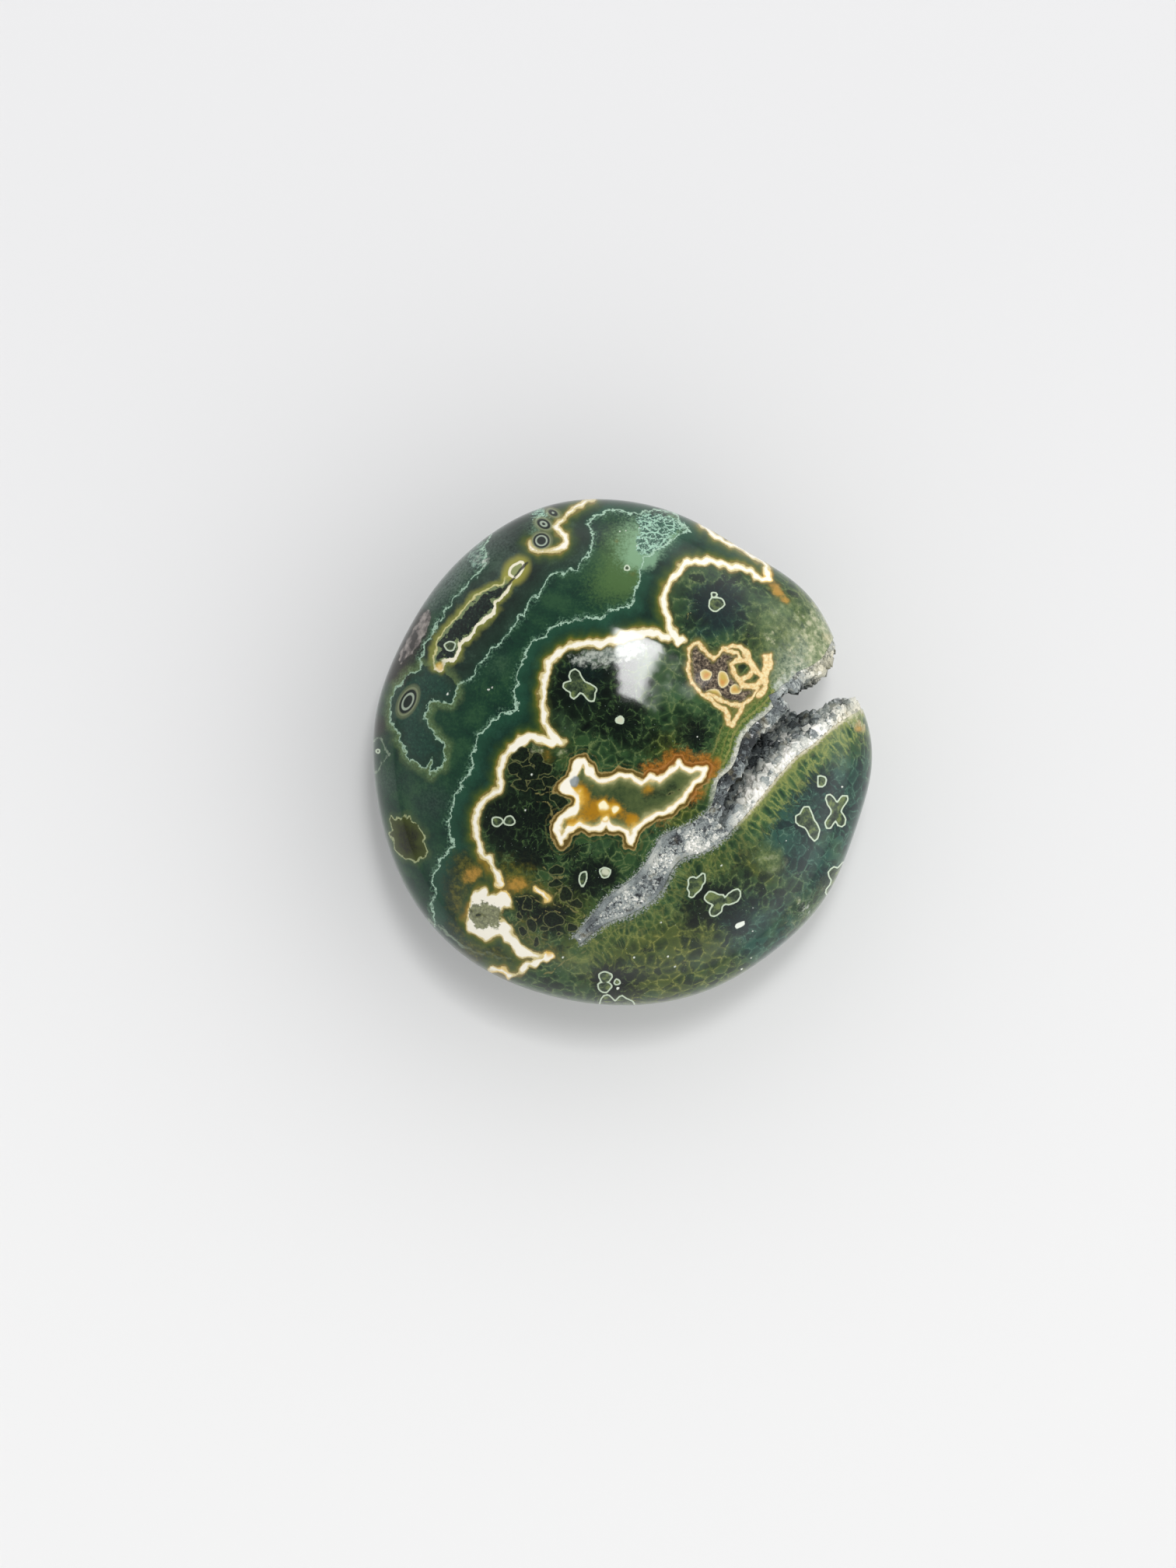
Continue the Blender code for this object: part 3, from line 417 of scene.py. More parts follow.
NIGHT_SPOTS = [
    (16.0, -12.8, 2.6, 0.6), (20.5, -20.8, 3.2, 0.6), (9.5, -23.0, 2.6, 0.5), (24.0, -15.5, 2.2, 0.6),
    (17.0, -17.5, 2.0, 0.5), (-7.6, 7.4, 3.6, 1.0), (-2.6, 9.6, 3.0, 0.8), (-5.8, 9.5, 5.5, 1.1),
    (-0.8, 5.0, 3.5, 1.0), (-4.5, 12.5, 3.5, 0.9), (-12.6, -3.3, 3.6, 1.1), (-16.8, -9.8, 3.8, 1.1),
    (-12.0, -9.5, 3.4, 1.0), (-12.6, -14.0, 3.0, 0.9), (-4.0, -17.5, 3.6, 0.9), (-9.8, -22.8, 3.0, 0.8),
    (-13.6, -21.5, 2.4, 0.8), (13.0, 20.2, 4.8, 0.8), (-1.0, -32.5, 3.4, 0.9), (11.0, -19.5, 3.6, 0.7),
    (15.5, -23.5, 3.5, 0.6), (28.0, -4.5, 3.5, 0.6), (25.5, -10.0, 3.2, 0.5), (10.3, 2.5, 3.0, 0.6),
    (4.0, 1.5, 3.0, 0.5), (28.9, -18.3, 3.0, 0.5), (8.5, 10.0, 2.5, 0.5),
]
MILK_SPOTS = [(-0.4, 4.2, 1.2, 1.2), (-2.4, -16.9, 0.7, 1.0), (22.4, -10.5, 0.7, 0.8), (-1.6, -31.0, 0.4, 0.6)]
WARM_SPOTS = [(28.6, 15.8, 1.3, 0.7), (29.4, 13.2, 1.0, 0.6), (33.2, 3.4, 1.0, 0.8), (27.0, 19.0, 0.9, 0.4)]
# Small dark cells with tan edges
DARK_CELLS = [
    [(-10.05, -6.2), (-9.6, -5.8), (-9.2, -5.9), (-8.75, -6.2), (-8.2, -6.2), (-7.7, -6.8), (-7.5, -7.2),
     (-8.0, -7.8), (-8.6, -7.9), (-9.2, -7.5), (-9.6, -7.1), (-10.05, -6.8)],
]
CELL_OVALS = [
    (-20.1, -22.9, 0.6, 0.3, 20.0), (-20.8, -22.2, 0.25, 0.15, 0.0), (-19.2, -23.0, 0.3, 0.12, 150.0),
    (-15.9, -23.2, 0.36, 0.14, 140.0), (6.6, -5.9, 0.7, 0.16, 15.0), (7.9, -5.2, 0.5, 0.16, 25.0),
    (-9.2, -16.5, 1.14, 0.7, 10.0), (-9.3, -18.3, 0.92, 0.61, 0.0), (-9.6, -23.4, 1.49, 1.01, 0.0),
    (-12.6, -24.2, 0.7, 0.92, 20.0), (-7.0, -24.5, 0.74, 0.52, 0.0), (-8.7, -25.5, 0.44, 0.26, 0.0),
    (-13.1, -21.3, 0.57, 1.05, 5.0), (-12.0, -26.6, 0.48, 0.61, 0.0), (-13.8, -25.1, 0.61, 0.66, 0.0),
    (-10.9, -24.8, 0.66, 0.35, 0.0), (-14.4, -22.8, 0.44, 0.61, 0.0), (-7.9, -19.8, 0.87, 1.09, 0.0),
    (-6.6, -21.2, 1.09, 0.57, 0.0), (-14.1, -0.5, 1.43, 0.99, 20.0), (-11.9, -1.1, 0.99, 0.89, 0.0),
    (-15.0, -2.4, 1.04, 0.78, 0.0), (-13.2, -3.1, 1.56, 1.04, 0.0), (-11.0, -2.4, 1.25, 0.89, 0.0),
    (-10.0, -4.2, 1.04, 0.73, 0.0), (-11.9, -4.7, 1.15, 0.89, 0.0), (-14.1, -4.7, 1.04, 0.78, 0.0),
]
# Thin tan lines
TAN_LINES = [
    [(-12.0, 2.2), (-11.3, 3.0), (-11.0, 3.9), (-10.8, 4.6)],
    [(-6.9, -1.2), (-7.5, -2.9), (-8.8, -4.5), (-9.3, -5.3), (-10.9, -5.9), (-12.0, -6.0)],
    [(-12.0, -7.0), (-10.5, -7.1), (-9.8, -7.8), (-9.8, -9.0), (-10.0, -11.0), (-9.6, -12.0)],
    [(-14.9, -21.0), (-14.2, -21.4), (-14.1, -22.2), (-14.5, -23.0), (-14.1, -23.6), (-14.6, -24.0),
     (-15.1, -24.5), (-14.9, -25.4), (-14.0, -26.0), (-12.9, -25.9), (-12.5, -26.6), (-11.4, -26.9),
     (-10.5, -26.6), (-9.8, -27.3), (-9.4, -28.2), (-9.6, -29.0)],
    [(-15.3, -20.5), (-14.4, -20.1), (-13.6, -20.0), (-12.7, -20.1), (-12.0, -20.7), (-11.4, -21.0),
     (-10.5, -21.2), (-11.1, -22.1)],
    [(-14.4, -18.8), (-13.6, -18.6), (-12.7, -18.3), (-12.0, -17.9), (-11.4, -17.9), (-11.5, -18.6),
     (-10.8, -19.0), (-9.8, -19.7), (-10.3, -20.5)],
    [(-11.0, -16.0), (-10.5, -16.8), (-9.6, -17.5), (-8.3, -17.3), (-9.0, -17.8), (-10.1, -17.9),
     (-10.4, -18.8), (-9.4, -19.1), (-8.7, -19.3), (-9.4, -20.1), (-9.7, -21.0), (-9.4, -21.4), (-7.9, -21.6),
     (-6.8, -22.2), (-5.7, -22.3), (-5.2, -23.0), (-5.7, -23.4), (-6.6, -23.2)],
    [(-8.7, -22.3), (-9.6, -22.2), (-10.5, -22.3), (-11.4, -22.7), (-12.2, -23.4), (-12.7, -23.0),
     (-13.1, -23.4), (-13.3, -24.3), (-13.1, -25.4), (-12.0, -25.8), (-10.5, -26.0)],
    [(2.0, -23.4), (-1.0, -25.0), (-3.0, -26.2), (-5.0, -27.6), (-7.0, -28.8), (-9.0, -30.0), (-11.0, -31.3)],
    [(9.0, 18.2), (9.1, 18.9), (9.6, 19.1)],
    [(19.4, 13.4), (20.1, 13.7), (20.6, 13.4), (20.4, 12.2)],
]
SOFT_SPOTS = [
    (21.5, 17.5, 3.5, 1.0), (25.0, 13.0, 4.0, 1.1), (26.5, 19.0, 3.5, 0.9), (23.0, 9.5, 2.5, 0.8),
    (19.0, 13.0, 2.0, 0.6), (30.0, 10.0, 3.0, 0.8), (20.4, -15.2, 1.7, 1.6), (30.0, -20.0, 3.0, 0.6),
    (26.0, -24.0, 3.0, 0.6),
]
# Pale mottling; the first five, beside the window light's highlight, also paint a faint spread of that reflection.
FOG_AND_GLARE_SPOTS = [
    (-4.6, 13.2, 1.5, 0.9), (-2.2, 13.4, 1.7, 1.0), (0.4, 14.0, 1.7, 1.0), (-6.8, 12.6, 1.2, 0.6),
    (2.2, 14.6, 1.2, 0.7), (22.0, 8.8, 1.4, 0.7), (24.5, 9.6, 2.0, 0.9), (27.5, 9.0, 2.0, 0.9),
    (30.0, 9.5, 1.8, 0.7), (29.5, 7.0, 1.5, 0.7), (25.5, -22.0, 1.6, 0.5), (-19.5, 26.6, 1.4, 0.6),
]
HALO_SPOTS = [
    (-21.5, -16.5, 2.6, 1.0), (-17.0, -17.2, 2.6, 0.9), (-13.5, -17.5, 2.2, 0.8), (-20.5, -27.6, 2.8, 1.0),
    (-16.5, -29.2, 2.4, 1.0), (-12.0, -26.4, 1.8, 0.7), (-8.6, -28.6, 1.8, 0.6), (-13.8, -24.2, 1.6, 0.6),
    (-22.8, -20.5, 2.0, 0.9), (-10.5, -20.0, 1.8, 0.6), (-22.8, -24.0, 1.6, 0.7),
]
SLATE_SPOTS = [(-6.5, -4.0, 0.6, 1.0), (-7.0, -4.5, 0.5, 0.9)]
SPOT_TABLES = {
    "gold": GOLD_SPOTS, "glow": GLOW_SPOTS, "rust": RUST_SPOTS, "olive": OLIVE_SPOTS, "pale": PALE_SPOTS,
    "mint": MINT_SPOTS, "edge_reflection": LEFT_EDGE_REFLECTION_SPOTS, "grey": GREY_AND_SHEEN_SPOTS, "teal": TEAL_SPOTS, "moss": MOSS_SPOTS,
    "lace": LACE_SPOTS, "lens": LENS_SPOTS, "night": NIGHT_SPOTS, "milk": MILK_SPOTS, "warm": WARM_SPOTS,
    "slate": SLATE_SPOTS, "soft": SOFT_SPOTS, "fog_and_glare": FOG_AND_GLARE_SPOTS, "halo": HALO_SPOTS,
}
# Where the crystals are stained like the stone
EARTHY_SPOTS = [(29.5, 12.5, 2.5, 0.9), (33.5, 5.0, 2.5, 0.8), (27.0, 11.0, 2.0, 0.5), (30.5, 4.2, 1.5, 0.5)]
# Lighter and darker places of the crystals; the darker ones beside the left lip deepen the painted shade there
CRYSTAL_TONES = [
    (27.2, 6.8, 2.4, 0.25), (30.6, 5.6, 2.0, 0.25), (24.0, 8.0, 1.6, 0.12), (2.2, -20.7, 1.8, 0.22),
    (9.6, -13.4, 1.9, 0.28), (4.4, -19.0, 2.0, -0.16), (7.5, -12.3, 0.7, -0.8), (2.2, -20.1, 0.5, -0.5),
    (-4.5, -25.5, 3.0, -0.12), (16.5, 1.0, 1.2, -0.3), (15.0, -3.0, 1.2, -0.3), (18.5, 2.0, 1.2, -0.2),
    (18.3, -4.6, 1.8, 0.25), (13.2, -4.2, 0.9, -0.4), (6.5, -15.0, 1.6, 0.15),
]


class Cut(Enum):
    """How one solid acts on another."""

    JOIN = "UNION"
    REMOVE = "DIFFERENCE"
    KEEP = "INTERSECT"


class Region(Enum):
    """Kinds of ground that the crystals grow on."""

    HOLLOW = "hollow"
    VEIN = "vein"
    GAP = "gap"
    LIP = "lip"


@dataclass(frozen=True)
class Lot:
    """Crystals of like size on one kind of ground.

    Attributes:
        region: The ground.
        count: Number of places that are tried.
        narrow: Least width.
        wide: Greatest width.
        share: Usual length for each width.
    """

    region: Region
    count: int
    narrow: float
    wide: float
    share: float


LOTS = (
    Lot(Region.HOLLOW, 1500, 0.7, 1.45, 0.75), Lot(Region.HOLLOW, 2300, 0.35, 0.75, 0.95),
    Lot(Region.HOLLOW, 240, 1.4, 2.2, 0.6), Lot(Region.VEIN, 2200, 0.24, 0.60, 0.55),
    Lot(Region.GAP, 420, 0.6, 1.1, 0.6), Lot(Region.GAP, 600, 0.3, 0.6, 0.8),
    Lot(Region.LIP, 520, 0.35, 0.85, 0.6),
)


def tint(code: str) -> tuple[float, float, float, float]:
    """Turn a hex colour into linear light values.

    Args:
        code: Six hex digits.

    Returns:
        Red, green, blue and an alpha of one.
    """
    parts = [int(code[start:start + 2], 16) / 255.0 for start in (0, 2, 4)]
    red, green, blue = (part / 12.92 if part <= 0.04045 else ((part + 0.055) / 1.055) ** 2.4 for part in parts)
    return (red, green, blue, 1.0)


def glide(knots: np.ndarray, at: np.ndarray) -> np.ndarray:
    """Follow a smooth curve through rows of numbers.

    Args:
        knots: Rows that the curve passes through.
        at: Fractional row positions.

    Returns:
        One row for each position.
    """
    low = np.clip(np.floor(at).astype(int), 0, len(knots) - 2)
    share = (at - low)[:, None]
    before, start, end, after = (knots[np.clip(low + step, 0, len(knots) - 1)] for step in (-1, 0, 1, 2))
    bend = 2.0 * before - 5.0 * start + 4.0 * end - after
    swing = 3.0 * (start - end) + after - before
    return start + 0.5 * share * (end - before + share * (bend + share * swing))


def nearest(points: np.ndarray, path: np.ndarray, closed: bool) -> tuple[np.ndarray, np.ndarray]:
    """Find the nearest place on a chain of straight lines.

    Args:
        points: Plan positions.
        path: Corners of the chain.
        closed: Whether the last corner joins the first.

    Returns:
        The distance of each point, and the run of the chain up to its nearest place.
    """
    start = path if closed else path[:-1]
    run = (np.roll(path, -1, axis=0) if closed else path[1:]) - start
    square = np.maximum((run ** 2).sum(axis=1), 1e-9)
    length = np.sqrt(square)
    before = np.cumsum(length) - length
    best = np.empty(len(points))
    place = np.empty(len(points))
    for block in range(0, len(points), BLOCK):
        spot = points[block:block + BLOCK]
        across = spot[:, :1] - start[:, 0]
        along = spot[:, 1:] - start[:, 1]
        share = np.clip((across * run[:, 0] + along * run[:, 1]) / square, 0.0, 1.0)
        across -= share * run[:, 0]
        along -= share * run[:, 1]
        gap = across ** 2 + along ** 2
        picked = gap.argmin(axis=1)
        rows = np.arange(len(spot))
        best[block:block + BLOCK] = np.sqrt(gap[rows, picked])
        place[block:block + BLOCK] = before[picked] + share[rows, picked] * length[picked]
    return best, place


def gap_to(points: np.ndarray, path: np.ndarray, closed: bool = False) -> np.ndarray:
    """Measure how far points lie from a chain of straight lines."""
    return nearest(points, np.array(path, dtype=float), closed)[0]


def enclosed(points: np.ndarray, loop: np.ndarray) -> np.ndarray:
    """Tell which points lie inside a closed figure.

    Args:
        points: Plan positions.
        loop: Corners of the figure.

    Returns:
        True for each point inside.
    """
    hits = np.zeros(len(points), dtype=bool)
    for start, end in zip(loop, np.roll(loop, -1, axis=0)):
        if start[1] == end[1]:
            continue
        crossed = (start[1] > points[:, 1]) != (end[1] > points[:, 1])
        reach = start[0] + (end[0] - start[0]) * (points[:, 1] - start[1]) / (end[1] - start[1])
        hits ^= crossed & (points[:, 0] < reach)
    return hits


def depth_in(points: np.ndarray, figures: list, margin: float = 0.0) -> np.ndarray:
    """Measure how deep points lie inside the nearest of some closed figures.

    Args:
        points: Plan positions.
        figures: Lists of corners.
        margin: Distance outside a figure up to which it is measured, or 0 for everywhere.

    Returns:
        Distance to the edge, positive inside and negative outside.
    """
    depth = np.full(len(points), FAR)
    for figure in figures:
        loop = np.array(figure, dtype=float)
        near = np.ones(len(points), dtype=bool)
        if margin:
            near = ((points > loop.min(axis=0) - margin) & (points < loop.max(axis=0) + margin)).all(axis=1)
        picked = points[near]
        if len(picked):
            gap = gap_to(picked, loop, True) * np.where(enclosed(picked, loop), 1.0, -1.0)
            depth[near] = np.maximum(depth[near], gap)
    return depth


def oval(x: float, y: float, length: float, width: float, turn: float) -> list:
    """List the corners of a slightly uneven oval.

    Args:
        x: Middle, across.
        y: Middle, up the face.
        length: Half length.
        width: Half width.
        turn: Degrees that the long way is turned by.

    Returns:
        Corners of the oval.
    """
    corners = []
    for step in range(14):
        angle = math.tau * step / 14
        swell = 1.0 + 0.09 * math.sin(3.0 * angle + 5.0 * x) + 0.05 * math.sin(5.0 * angle + 3.0 * y)
        side = complex(length * swell * math.cos(angle), width * swell * math.sin(angle))
        side *= complex(math.cos(math.radians(turn)), math.sin(math.radians(turn)))
        corners.append((x + side.real, y + side.imag))
    return corners


def spots(points: np.ndarray, table: list) -> np.ndarray:
    """Add up soft round spots.

    Args:
        points: Plan positions.
        table: Rows of x, y, radius and strength.

    Returns:
        The summed strength at each point.
    """
    total = np.zeros(len(points))
    for x, y, radius, strength in table:
        total += strength * np.exp(-((points[:, 0] - x) ** 2 + (points[:, 1] - y) ** 2) / radius ** 2)
    return total


@dataclass(frozen=True)
class Ripple:
    """Smooth seeded waviness in the plane.

    Attributes:
        seed: Seed of the waves.
        shortest: Shortest wave.
        longest: Longest wave.
        count: Number of waves.
    """

    seed: int
    shortest: float
    longest: float
    count: int = 10

    def at(self, points: np.ndarray) -> np.ndarray:
        """Give the waviness at plan positions.

        Args:
            points: Plan positions.

        Returns:
            Values of about -1 to 1.
        """
        chooser = np.random.default_rng(self.seed)
        total = np.zeros(len(points))
        for _ in range(self.count):
            angle, start = chooser.uniform(0.0, math.tau, 2)
            pitch = math.tau / chooser.uniform(self.shortest, self.longest)
            total += np.sin(pitch * (points[:, 0] * math.cos(angle) + points[:, 1] * math.sin(angle)) + start)
        return total / math.sqrt(self.count)


def add_mesh(name: str, points: np.ndarray, faces: list) -> bpy.types.Object:
    """Make a mesh object from points in millimetres.

    Args:
        name: Name of the object.
        points: Positions.
        faces: Corner numbers of each face.

    Returns:
        The object, linked to the scene.
    """
    mesh = bpy.data.meshes.new(name)
    mesh.from_pydata((points * MM).tolist(), [], faces)
    mesh.update()
    item = bpy.data.objects.new(name, mesh)
    bpy.context.scene.collection.objects.link(item)
    return item


def carve(item: bpy.types.Object, steps: list[tuple[Cut, bpy.types.Object]]) -> None:
    """Cut a solid with others and drop the others.

    Args:
        item: The solid.
        steps: Kind of cut and the solid that cuts, in order.
    """
    for kind, other in steps:
        modifier = item.modifiers.new(other.name, "BOOLEAN")
        modifier.operation = kind.value
        modifier.solver = "MANIFOLD"
        modifier.object = other
    result = bpy.data.meshes.new_from_object(item.evaluated_get(bpy.context.evaluated_depsgraph_get()))
    item.modifiers.clear()
    spare = item.data
    item.data = result
    bpy.data.meshes.remove(spare)
    for _, other in steps:
        bpy.data.objects.remove(other, do_unlink=True)


def positions(mesh: bpy.types.Mesh) -> np.ndarray:
    """Read the points of a mesh.

    Args:
        mesh: The mesh.

    Returns:
        Positions in millimetres.
    """
    flat = np.empty(len(mesh.vertices) * 3, dtype=np.float32)
    mesh.vertices.foreach_get("co", flat)
    return flat.reshape(-1, 3).astype(float) / MM


def paint(mesh: bpy.types.Mesh, name: str, values: np.ndarray) -> None:
    """Store one number for each point of a mesh.

    Args:
        mesh: The mesh.
        name: Name of the attribute.
        values: One value for each point.
    """
    layer = mesh.attributes.new(name, "FLOAT", "POINT")
    layer.data.foreach_set("value", values.astype(np.float32))


def tube(sections: np.ndarray) -> tuple[np.ndarray, list]:
    """Join equal rings of points into a closed tube.

    Args:
        sections: Rings of points, one row for each ring.

    Returns:
        The points, and the corner numbers of each face.
    """
    rows, columns = sections.shape[:2]
    row, column = np.meshgrid(np.arange(rows - 1), np.arange(columns), indexing="ij")
    follow = (column + 1) % columns
    corners = [row * columns + column, row * columns + follow, (row + 1) * columns + follow,
               (row + 1) * columns + column]
    faces = np.stack([corner.ravel() for corner in corners], axis=1).tolist()
    faces.append(list(range(columns))[::-1])
    faces.append(list(range((rows - 1) * columns, rows * columns)))
    return sections.reshape(-1, 3), faces


@dataclass
class Pebble:
    """The rounded, flattened body.

    Attributes:
        thickness: Height of the top of the face.
        rim_height: Height of the widest line.
        underside_drop: Distance of the underside's lowest point under the rim, before grinding.
        power: How square the cross-section is.
        harmonics: Waves in the outline.
        fine: Length of the mesh's steps on the face.
        coarse: Length of the mesh's steps on the underside.
        growth: How much a step grows for each millimetre past the rim.
        terms: Strengths of the outline's waves.
    """

    thickness: float = 30.0
    rim_height: float = 14.5
    underside_drop: float = 15.1
    power: float = 2.3
    harmonics: int = 11
    fine: float = 0.25
    coarse: float = 0.75
    growth: float = 0.08
    terms: np.ndarray = field(init=False, repr=False)

    def __post_init__(self) -> None:
        """Fit the smooth outline to its points."""
        points = np.array(OUTLINE)
        rows = self.waves(np.arctan2(points[:, 1], points[:, 0]))
        self.terms = np.linalg.lstsq(rows, np.hypot(points[:, 0], points[:, 1]), rcond=None)[0]

    def waves(self, angles: np.ndarray) -> np.ndarray:
        """Give the outline's waves.

        Args:
            angles: Directions in radians.

        Returns:
            One row of waves for each direction.
        """
        orders = np.arange(1, self.harmonics + 1)
        turns = angles[:, None] * orders
        pairs = np.stack([np.cos(turns), np.sin(turns)], axis=-1).reshape(len(angles), -1)
        return np.concatenate([np.ones((len(angles), 1)), pairs], axis=1)

    def rim(self, angles: np.ndarray) -> np.ndarray:
        """Give the radius of the outline in some directions."""
        return self.waves(angles) @ self.terms

    def dome(self, plan: np.ndarray) -> np.ndarray:
        """Give the share of the full dome that is left at plan positions.

        Args:
            plan: Rows of x and y.

        Returns:
            1 at the middle to 0 at the rim.
        """
        share = np.hypot(plan[:, 0], plan[:, 1]) / self.rim(np.arctan2(plan[:, 1], plan[:, 0]))
        return (1.0 - np.minimum(share, 1.0) ** self.power) ** (1.0 / self.power)

    def face(self, plan: np.ndarray) -> np.ndarray:
        """Give the height of the polished face."""
        return self.rim_height + (self.thickness - self.rim_height) * self.dome(plan)

    def underside(self, plan: np.ndarray) -> np.ndarray:
        """Give the height of the underside."""
        return np.maximum(self.rim_height - self.underside_drop * self.dome(plan), 0.0)

    def shell(self, drop: float, fine: float, coarse: float) -> tuple[np.ndarray, list]:
        """Build the closed skin of the body from rings of points.

        Args:
            drop: Distance under the polished surface.
            fine: Step on the face.
            coarse: Step on the underside.

        Returns:
            The points, and the corner numbers of each face.
        """
        swing = np.linspace(0.0, math.pi, ARC_STEPS + 1)
        flat = np.sin(swing).clip(0.0, 1.0) ** (2.0 / self.power)
        rise = np.sign(np.cos(swing)) * np.abs(np.cos(swing)) ** (2.0 / self.power)
        tall = np.where(rise >= 0.0, self.thickness - self.rim_height, self.underside_drop)
        arc = np.concatenate([[0.0], np.cumsum(np.hypot(np.diff(MEAN_RADIUS * flat), np.diff(tall * rise)))])
        edge = arc[ARC_STEPS // 2]

        def pace(run: float) -> float:
            """Give the step at a distance from the top, which grows past the rim."""
            return min(max(fine, fine + (run - edge - 1.0) * self.growth), coarse)

        stops = [0.0]
        while stops[-1] < arc[-1] - coarse:
            stops.append(stops[-1] + pace(stops[-1]))
        stops.append(arc[-1])
        places = np.interp(stops, arc, swing)
        rings = []
        for place, stop in zip(places, stops):
            share = max(math.sin(place), 0.0) ** (2.0 / self.power)
            count = 1
            if stop not in (stops[0], stops[-1]):
                count = max(6, round(math.tau * MEAN_RADIUS * share / pace(stop)))
            angles = math.tau * np.arange(count) / count
            reach = share * (self.rim(angles) - drop) * (count > 1)
            lift = abs(math.cos(place)) ** (2.0 / self.power)
            if math.cos(place) >= 0.0:
                height = self.rim_height + lift * (self.thickness - self.rim_height - drop)
            else:
                height = max(self.rim_height - lift * (self.underside_drop - drop), 0.0)
            rings.append(np.column_stack([reach * np.cos(angles), reach * np.sin(angles),
                                          np.full(count, height)]))
        return self.zip_rings(rings)

    @staticmethod
    def zip_rings(rings: list[np.ndarray]) -> tuple[np.ndarray, list]:
        """Fill the bands between rings of different counts with triangles.

        Args:
            rings: Rings of points, from the top to the underside.

        Returns:
            The points, and the corner numbers of each face.
        """
        faces = []
        base = 0
        for upper, lower in zip(rings, rings[1:]):
            above, below = len(upper), len(lower)
            upper_keys = (np.arange(above) + 0.5) / above
            lower_keys = (np.arange(below) + 0.5) / below
            if above > 1:
                side = np.arange(above)
                apex = np.searchsorted(lower_keys, upper_keys, side="left") % below
                faces.append(np.column_stack([base + side, base + above + apex, base + (side + 1) % above]))
            if below > 1:
                side = np.arange(below)
                apex = np.searchsorted(upper_keys, lower_keys, side="right") % above
                faces.append(np.column_stack([base + above + side, base + above + (side + 1) % below,
                                              base + apex]))
            base += above
        return np.concatenate(rings), np.concatenate(faces).tolist()


